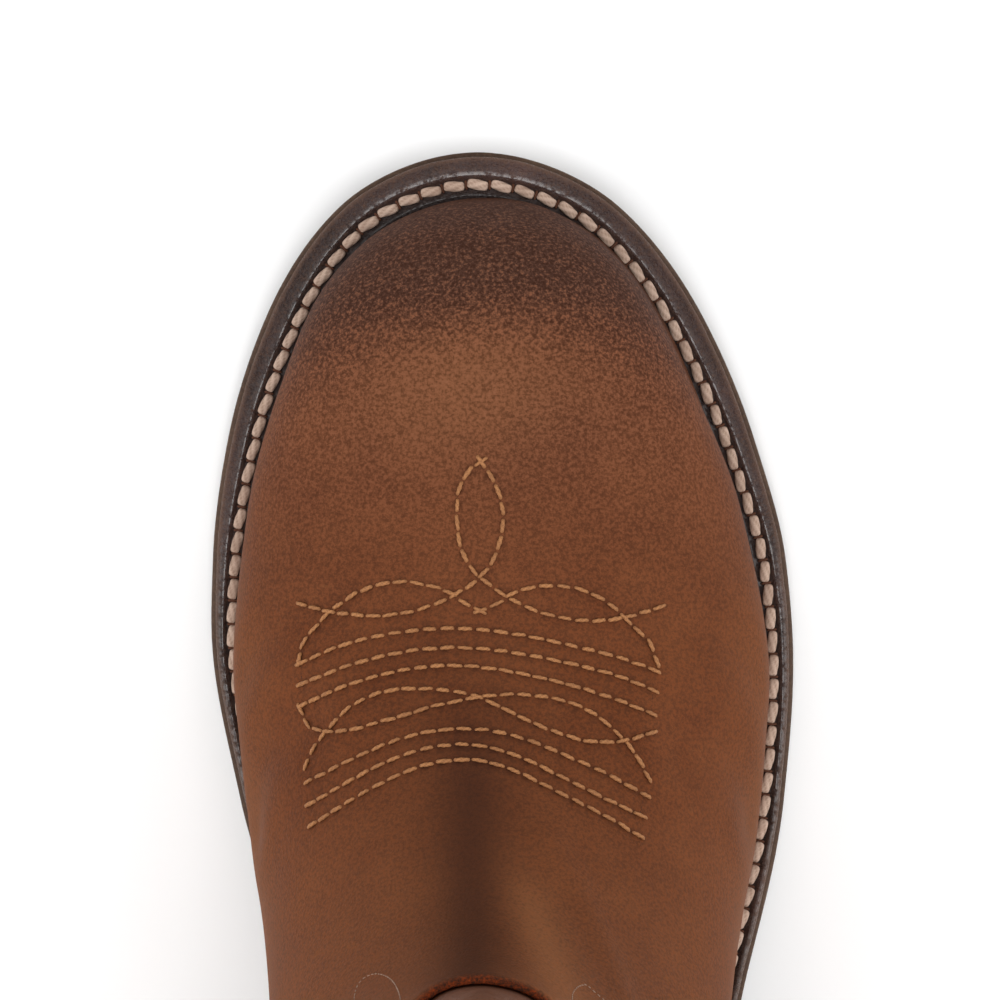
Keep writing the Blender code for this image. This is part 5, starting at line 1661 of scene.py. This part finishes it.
@dataclass
class Bottom:
    """The outsole, heel and insole."""

    maker: Maker
    stations: int = 150
    heel_steps: int = 60

    def build(self) -> None:
        """Builds the pieces under the foot."""
        self.outsole()
        self.heel()
        self.insole()

    def loft(self, name: str, stations: np.ndarray, section: Callable[[float], list[tuple[float, float]]]) -> bpy.types.Object:
        """A closed form through sections across the boot."""
        form = self.maker.form
        grid = np.array([[(x, float(form.y_of(f)), z) for x, z in section(float(f))] for f in stations])
        rows, columns = grid.shape[:2]
        faces: list[Sequence[int]] = list(ring_faces(rows, columns, False, True))
        faces += [tuple(range(columns)), tuple(range((rows - 1) * columns, rows * columns))]
        return face_out(add_mesh(name, grid, faces))

    def outsole(self) -> None:
        """The outsole with a broken edge and a shallow line along its side."""
        form = self.maker.form
        share = (1 - np.cos(np.pi * np.linspace(0, 1, self.stations))) / 2
        share[0], share[-1] = share[1] / 12, 1 - share[1] / 12

        def section(forward: float) -> list[tuple[float, float]]:
            centre, half = form.outline(form.SOLE_OUTLINE, form.ball_width, forward / form.sole_length)
            low, high = float(form.underside(forward)), float(form.outsole_top(forward))
            thick = high - low
            side = [
                (0.0011, 0.0), (0.0004, 0.0002), (0.0, 0.0009), (0.0, 0.36 * thick), (0.00035, 0.42 * thick),
                (0.0, 0.48 * thick), (0.0, thick - 0.0009), (0.0003, thick - 0.0002), (0.0009, thick),
            ]
            shrink = min(1.0, half / 0.004)
            right = [(centre + half - d * shrink, low + h) for d, h in side]
            left = [(centre - half + d * shrink, low + h) for d, h in side[::-1]]
            middle = [(centre + (half - 0.0011) * k / 6, low) for k in range(-5, 6)]
            return middle + right + left

        sole = self.loft("outsole_edge", share * form.sole_length, section)
        self.maker.wardrobe.dress(sole, Wardrobe.SOLE, "sole")
        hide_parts("outsole")

    def heel_outline(self, draw_in: float, lean: float) -> np.ndarray:
        """Points (across, forward) round the heel."""
        form = self.maker.form
        spread = 1 - np.cos(np.pi / 2 * np.linspace(0, 1, self.heel_steps))
        forward = form.heel_length * spread[::-1]
        centre, half = form.outline(form.SOLE_OUTLINE, form.ball_width, forward / form.sole_length)
        half = half * (1 - 2 * draw_in / form.heel_length)
        forward = draw_in + forward * (1 - (draw_in + lean) / form.heel_length)
        outer = np.column_stack([centre - half, forward])
        inner = np.column_stack([centre + half, forward])[-2::-1]
        across = np.linspace(inner[-1][0], outer[0][0], 24)[1:-1]
        share = np.linspace(0, 1, 24)[1:-1]
        breast = np.column_stack([across, forward[0] - form.breast_hollow * 4 * share * (1 - share)])
        return np.concatenate([outer, inner, breast])

    def heel_loft(self, name: str, rings: list[tuple[float, float, Callable[[np.ndarray], np.ndarray]]]) -> bpy.types.Object:
        """A closed stack of heel outlines, each with its draw, its lean and its height."""
        form, grid = self.maker.form, []
        for draw_in, lean, height in rings:
            plan = self.heel_outline(draw_in, lean)
            grid.append(np.column_stack([plan[:, 0], form.y_of(plan[:, 1]), height(plan[:, 1])]))
        columns = len(grid[0])
        faces: list[Sequence[int]] = list(ring_faces(len(grid), columns, False, True))
        faces += [tuple(range(columns)), tuple(range((len(grid) - 1) * columns, len(grid) * columns))]
        return face_out(add_mesh(name, np.array(grid), faces))

    def heel(self) -> None:
        """The stacked heel, with its layers marked by fine grooves, and the rubber cap."""
        form = self.maker.form
        low = form.heel_cap + form.clearance

        def at(share: float) -> Callable[[np.ndarray], np.ndarray]:
            return lambda forward: low + (form.underside(forward) - form.clearance - low) * share

        rings = []
        layers = 4
        for layer in range(layers):
            for inside, groove in ((0.02, 0.00025), (0.06, 0.0), (0.94, 0.0), (0.98, 0.00025)):
                share = (layer + inside) / layers
                share = 0.0 if layer == 0 and inside == 0.02 else 1.0 if layer == layers - 1 and inside == 0.98 else share
                rings.append((form.heel_taper * (1 - share) + groove, form.heel_lean * (1 - share) + groove, at(share)))
        stack = self.heel_loft("heel_layers", rings)
        self.maker.wardrobe.dress(stack, Wardrobe.HEEL, "heel_leather")
        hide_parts("heel_stack")
        taper, lean = form.heel_taper, form.heel_lean
        levels = ((0.0006, 0.0), (0.00015, 0.0002), (0.0, 0.0007), (0.0, form.heel_cap - 0.0004), (0.0002, form.heel_cap))
        rings = [(taper + d, lean + d, (lambda forward, z=z: 0 * forward + z)) for d, z in levels]
        cap = self.heel_loft("heel_top_piece", rings)
        self.maker.wardrobe.dress(cap, Wardrobe.CAP, "heel_rubber")
        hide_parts("heel_cap")

    def insole(self) -> None:
        """The insole board with soft edges."""
        form = self.maker.form
        share = (1 - np.cos(np.pi * np.linspace(0, 1, 90))) / 2
        share[0], share[-1] = share[1] / 12, 1 - share[1] / 12
        draw = form.overlay + form.wall + 5 * form.clearance
        start, end = form.feather_back + draw, form.toe - draw

        def section(forward: float) -> list[tuple[float, float]]:
            centre, half = form.feather_width(np.array((forward - start) / (end - start)))
            half = float(half - draw * (1 - math.exp(-((float(half) / (2 * draw)) ** 2))))
            low = float(form.outsole_top(forward)) + form.clearance
            high = float(form.feather_line(forward)) + form.insole
            across = [half * k / 8 for k in range(8, -9, -1)]
            over = [(float(centre) + a, high - 0.0009 * (a / half) ** 8) for a in across]
            return [(float(centre) - half, low), (float(centre) + half, low), *over]

        board = self.loft("insole_board", start + share * (end - start), section)
        self.maker.wardrobe.dress(board, Wardrobe.LINING, "lining")
        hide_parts("insole")


@dataclass
class Trim:
    """The collar's binding, the side seams' piping and the pull straps."""

    maker: Maker
    columns: int = 300
    binding_wall: float = 0.0008
    binding_depth: float = 0.0065
    piping_width: float = 0.0034
    piping_height: float = 0.0016
    strap_width: float = 0.026
    strap_wall: float = 0.0020
    strap_leg: float = 0.048
    strap_rise: float = 0.017
    strap_gap: float = 0.0090

    def build(self) -> None:
        """Builds the trim."""
        self.binding()
        for side in Side:
            self.piping(side)
            self.strap(side)

    def collar(self, turns: np.ndarray) -> tuple[np.ndarray, np.ndarray, np.ndarray]:
        """Middle of the wall at the collar, the outward normals and the ways up."""
        form, relief = self.maker.form, self.maker.relief
        normal = form.normal(turns, np.ones(len(turns)))
        depth = np.full(len(turns), form.depth_of_upper + form.wall / 2)
        middle, _ = relief.skin(turns, np.ones(len(turns)), depth, sewn=False)
        below, _ = relief.skin(turns, np.full(len(turns), 0.99), depth, sewn=False)
        up = middle - below
        up -= normal * np.sum(up * normal, axis=-1, keepdims=True)
        return middle, normal, unit(up)

    def binding(self) -> None:
        """A strip folded over the collar, sewn through near its edge."""
        maker, form = self.maker, self.maker.form
        turns = np.linspace(-1, 1, self.columns, endpoint=False)
        middle, normal, up = self.collar(turns)
        near = form.wall / 2 + form.clearance
        far = near + self.binding_wall
        top = form.clearance + self.binding_wall
        bend = [(far * math.cos(a), top * math.sin(a)) for a in np.linspace(0, math.pi, 9)]
        section = [(far - 0.0003, -self.binding_depth), (far, -self.binding_depth + 0.0004), *bend]
        section += [(-far, -self.binding_depth + 0.0004), (-far + 0.0003, -self.binding_depth)]
        section += [(-near, -self.binding_depth), (-near, form.clearance), (near, form.clearance), (near, -self.binding_depth)]
        points = np.array([middle + normal * out + up * rise for out, rise in section])
        strip = face_out(add_mesh("binding_strip", points, ring_faces(len(section), self.columns, True, True)))
        maker.wardrobe.dress(strip, Wardrobe.TRIM, "trim_leather")
        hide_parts("collar_binding")
        row = middle + normal * (far + 0.0001) - up * (self.binding_depth - 0.0022)
        inner = middle - normal * (far + 0.0001) - up * (self.binding_depth - 0.0022)
        fine = maker.wardrobe.get(Wardrobe.FINE)
        sewn = maker.rows.sew("binding_stitching", [(row, normal), (inner, -normal)], maker.fine, 0.0026, fine, True)

    def strap_foot(self, side: Side) -> float:
        """Height of the lower end of a pull strap."""
        return float(self.maker.form.surface(np.array(side.value * 0.5), np.array(1.0))[2]) - self.strap_leg

    def level_at(self, side: Side, height: float) -> float:
        """Ring level at which the side seam reaches a height."""
        levels = np.linspace(0, 1, 400)
        heights = self.maker.form.surface(np.full(400, side.value * 0.5), levels)[:, 2]
        return float(np.interp(height, heights, levels))

    def piping(self, side: Side) -> None:
        """A rounded bead down the side seam, with a row of stitches on each side."""
        maker, form = self.maker, self.maker.form
        top = self.level_at(side, self.strap_foot(side) - 2 * form.clearance)
        bottom = float(form.overlay_top(0.5)) + 0.004
        levels = np.linspace(bottom, top, 120)
        width = np.array([self.ring_length(level) for level in levels])
        section = [(math.cos(a), math.sin(a)) for a in np.linspace(0, math.pi, 11)]
        grid = []
        for across, raised in section:
            turn = side.value * (0.5 + across * self.piping_width / 2 / width * 2 / math.pi)
            depth = np.full(len(levels), form.overlay - raised * self.piping_height)
            points, _ = maker.relief.skin(turn, levels, depth, sewn=False)
            grid.append(points)
        points = np.array(grid)
        rows, columns = points.shape[:2]
        faces: list[Sequence[int]] = list(ring_faces(rows, columns, True, False))
        faces += [tuple(k * columns for k in range(rows)), tuple(k * columns + columns - 1 for k in range(rows))]
        bead = face_out(add_mesh("piping_bead_" + side.word, points, faces))
        maker.wardrobe.dress(bead, Wardrobe.TRIM, "trim_leather")
        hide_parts("side_piping_" + side.word)
        rows_sewn = []
        for offset in (-0.0045, 0.0045):
            turn = side.value * (0.5 + offset / width * 2 / math.pi)
            rows_sewn.append(maker.surface_row(turn, levels, form.depth_of_upper, 0.0002))
        fine = maker.wardrobe.get(Wardrobe.FINE)
        sewn = maker.rows.sew("seam_stitching_" + side.word, rows_sewn, maker.fine, maker.FINE_PITCH, fine)

    def ring_length(self, level: float) -> float:
        """Distance along the boot from the front to the back of a ring."""
        ends = self.maker.form.surface(np.array([0.0, 1.0]), np.array([level, level]))
        return float(ends[1, 1] - ends[0, 1])

    def strap(self, side: Side) -> None:
        """A pull strap: down the outside, up over the collar in a loop and down the inside, sewn along its edges and
        across its foot.
        """
        maker, form = self.maker, self.maker.form
        columns = np.linspace(-1, 1, 21)
        turns = side.value * (0.5 + columns * self.strap_width / 2 / self.ring_length(1.0) * 2 / math.pi)
        clear = 2 * form.clearance + self.binding_wall
        height = float(form.surface(np.array(side.value * 0.5), np.array(1.0))[2])
        low, edge = self.level_at(side, self.strap_foot(side)), self.level_at(side, height - self.binding_depth - 0.003)
        levels = np.concatenate([np.linspace(low, edge, 16), [edge + (1 - edge) * 0.5, 1.0]])
        near = np.concatenate([np.full(15, form.clearance), [clear, clear, clear]])
        middle, normal, up = self.collar(turns)
        wall_middle = form.wall / 2 + clear + self.strap_wall / 2
        loop = self.strap_gap / 2 + self.strap_wall / 2

        def leg(sign: float) -> list[np.ndarray]:
            rows = []
            for level, off in zip(levels, near):
                distance = off + self.strap_wall / 2
                inward = form.depth_of_upper - distance if sign > 0 else form.depth_of_upper + form.wall + distance
                points, _ = maker.relief.skin(turns, np.full(len(turns), level), np.full(len(turns), inward), sewn=False)
                rows.append(points)
            for share in (0.15, 0.3, 0.45):
                bulge = wall_middle + (loop - wall_middle) * smooth_step(0.0, 0.65, share)
                rows.append(middle + normal * sign * float(bulge) + up * self.strap_rise * share)
            return rows

        arc = [
            middle + normal * loop * math.cos(a) + up * (self.strap_rise - loop + loop * math.sin(a))
            for a in np.linspace(0, math.pi, 17)
        ]
        path = np.array(leg(1.0) + arc + leg(-1.0)[::-1])
        for _ in range(3):
            path[1:-1] = (path[:-2] + 2 * path[1:-1] + path[2:]) / 4
        out = unit(np.cross(np.gradient(path, axis=1), np.gradient(path, axis=0))) * side.value
        half = self.strap_wall / 2
        soft = half * (1 - 0.55 * np.abs(columns) ** 6)[None, :, None]
        grid = np.concatenate([path + out * soft, (path - out * soft)[:, ::-1]], axis=1)
        rows, count = grid.shape[:2]
        faces: list[Sequence[int]] = list(ring_faces(rows, count, False, True))
        faces += [tuple(range(count)), tuple(range((rows - 1) * count, rows * count))]
        strap = face_out(add_mesh("strap_loop_" + side.word, grid, faces))
        maker.wardrobe.dress(strap, Wardrobe.SHAFT, "shaft_leather")
        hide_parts("pull_strap_" + side.word)
        self.sew_strap(side, path, out, half)

    def sew_strap(self, side: Side, path: np.ndarray, out: np.ndarray, half: float) -> None:
        """Two rows of stitches along the strap's edges and one across its foot."""
        maker, rows_sewn = self.maker, []
        for column in (2, 18):
            rows_sewn.append((path[:, column] + out[:, column] * (half + 0.0001), out[:, column]))
        rows_sewn.append((path[2, 3:18] + out[2, 3:18] * (half + 0.0001), out[2, 3:18]))
        fine = maker.wardrobe.get(Wardrobe.FINE)
        sewn = maker.rows.sew("strap_stitching_" + side.word, rows_sewn, maker.fine, 0.0025, fine)


@dataclass(frozen=True)
class SoftBox:
    """A soft studio light."""

    name: str
    place: tuple[float, float, float]
    size: tuple[float, float]
    power: float
    aim: tuple[float, float, float] = (0.0, -0.16, 0.04)

    def make(self) -> bpy.types.Object:
        """Makes the light, turned to its aim."""
        data = bpy.data.lights.new(self.name, "AREA")
        data.shape = "RECTANGLE"
        data.size, data.size_y = self.size
        data.energy = self.power
        light = bpy.data.objects.new(self.name, data)
        light.location = self.place
        light.rotation_euler = (Vector(self.aim) - Vector(self.place)).to_track_quat("-Z", "Y").to_euler()
        bpy.context.scene.collection.objects.link(light)
        return light


@dataclass
class Studio:
    """The floor, the lights and the camera."""

    wardrobe: Wardrobe
    ambient: float = 0.58

    LIGHTS: ClassVar[tuple[SoftBox, ...]] = (
        SoftBox("top_box", (0.0, 0.10, 2.2), (1.3, 1.3), 27.0),
        SoftBox("left_box", (1.5, -0.05, 0.9), (1.0, 1.4), 12.0),
        SoftBox("right_box", (-1.5, -0.05, 0.9), (1.0, 1.4), 12.0),
        SoftBox("back_box", (0.0, 1.6, 1.2), (1.4, 0.9), 8.0),
    )

    def build(self) -> None:
        """Builds the studio."""
        floor = add_mesh("floor", np.array([(-3, -3, 0), (3, -3, 0), (3, 3, 0), (-3, 3, 0)], float), [(0, 1, 2, 3)])
        floor.data.materials.append(self.wardrobe.get(Wardrobe.FLOOR))
        world = bpy.data.worlds.new("studio")
        world.use_nodes = True
        background = world.node_tree.nodes["Background"]
        background.inputs[0].default_value = (1.0, 1.0, 1.0, 1.0)
        background.inputs[1].default_value = self.ambient
        scene = bpy.context.scene
        scene.world = world
        scene.view_settings.view_transform = "Standard"
        scene.view_settings.look = "None"
        for light in self.LIGHTS:
            light.make()
        VIEW.make()


def main() -> None:
    """Builds the boot and the studio in order."""
    logging.basicConfig(level=logging.INFO, format="%(message)s")
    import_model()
    maker = Maker.ready()
    Vamp(maker).build()
    Counter(maker).build()
    Shaft(maker).build()
    Welt(maker).build()
    Bottom(maker).build()
    Trim(maker).build()
    Studio(maker.wardrobe).build()


if __name__ == "__main__":
    main()
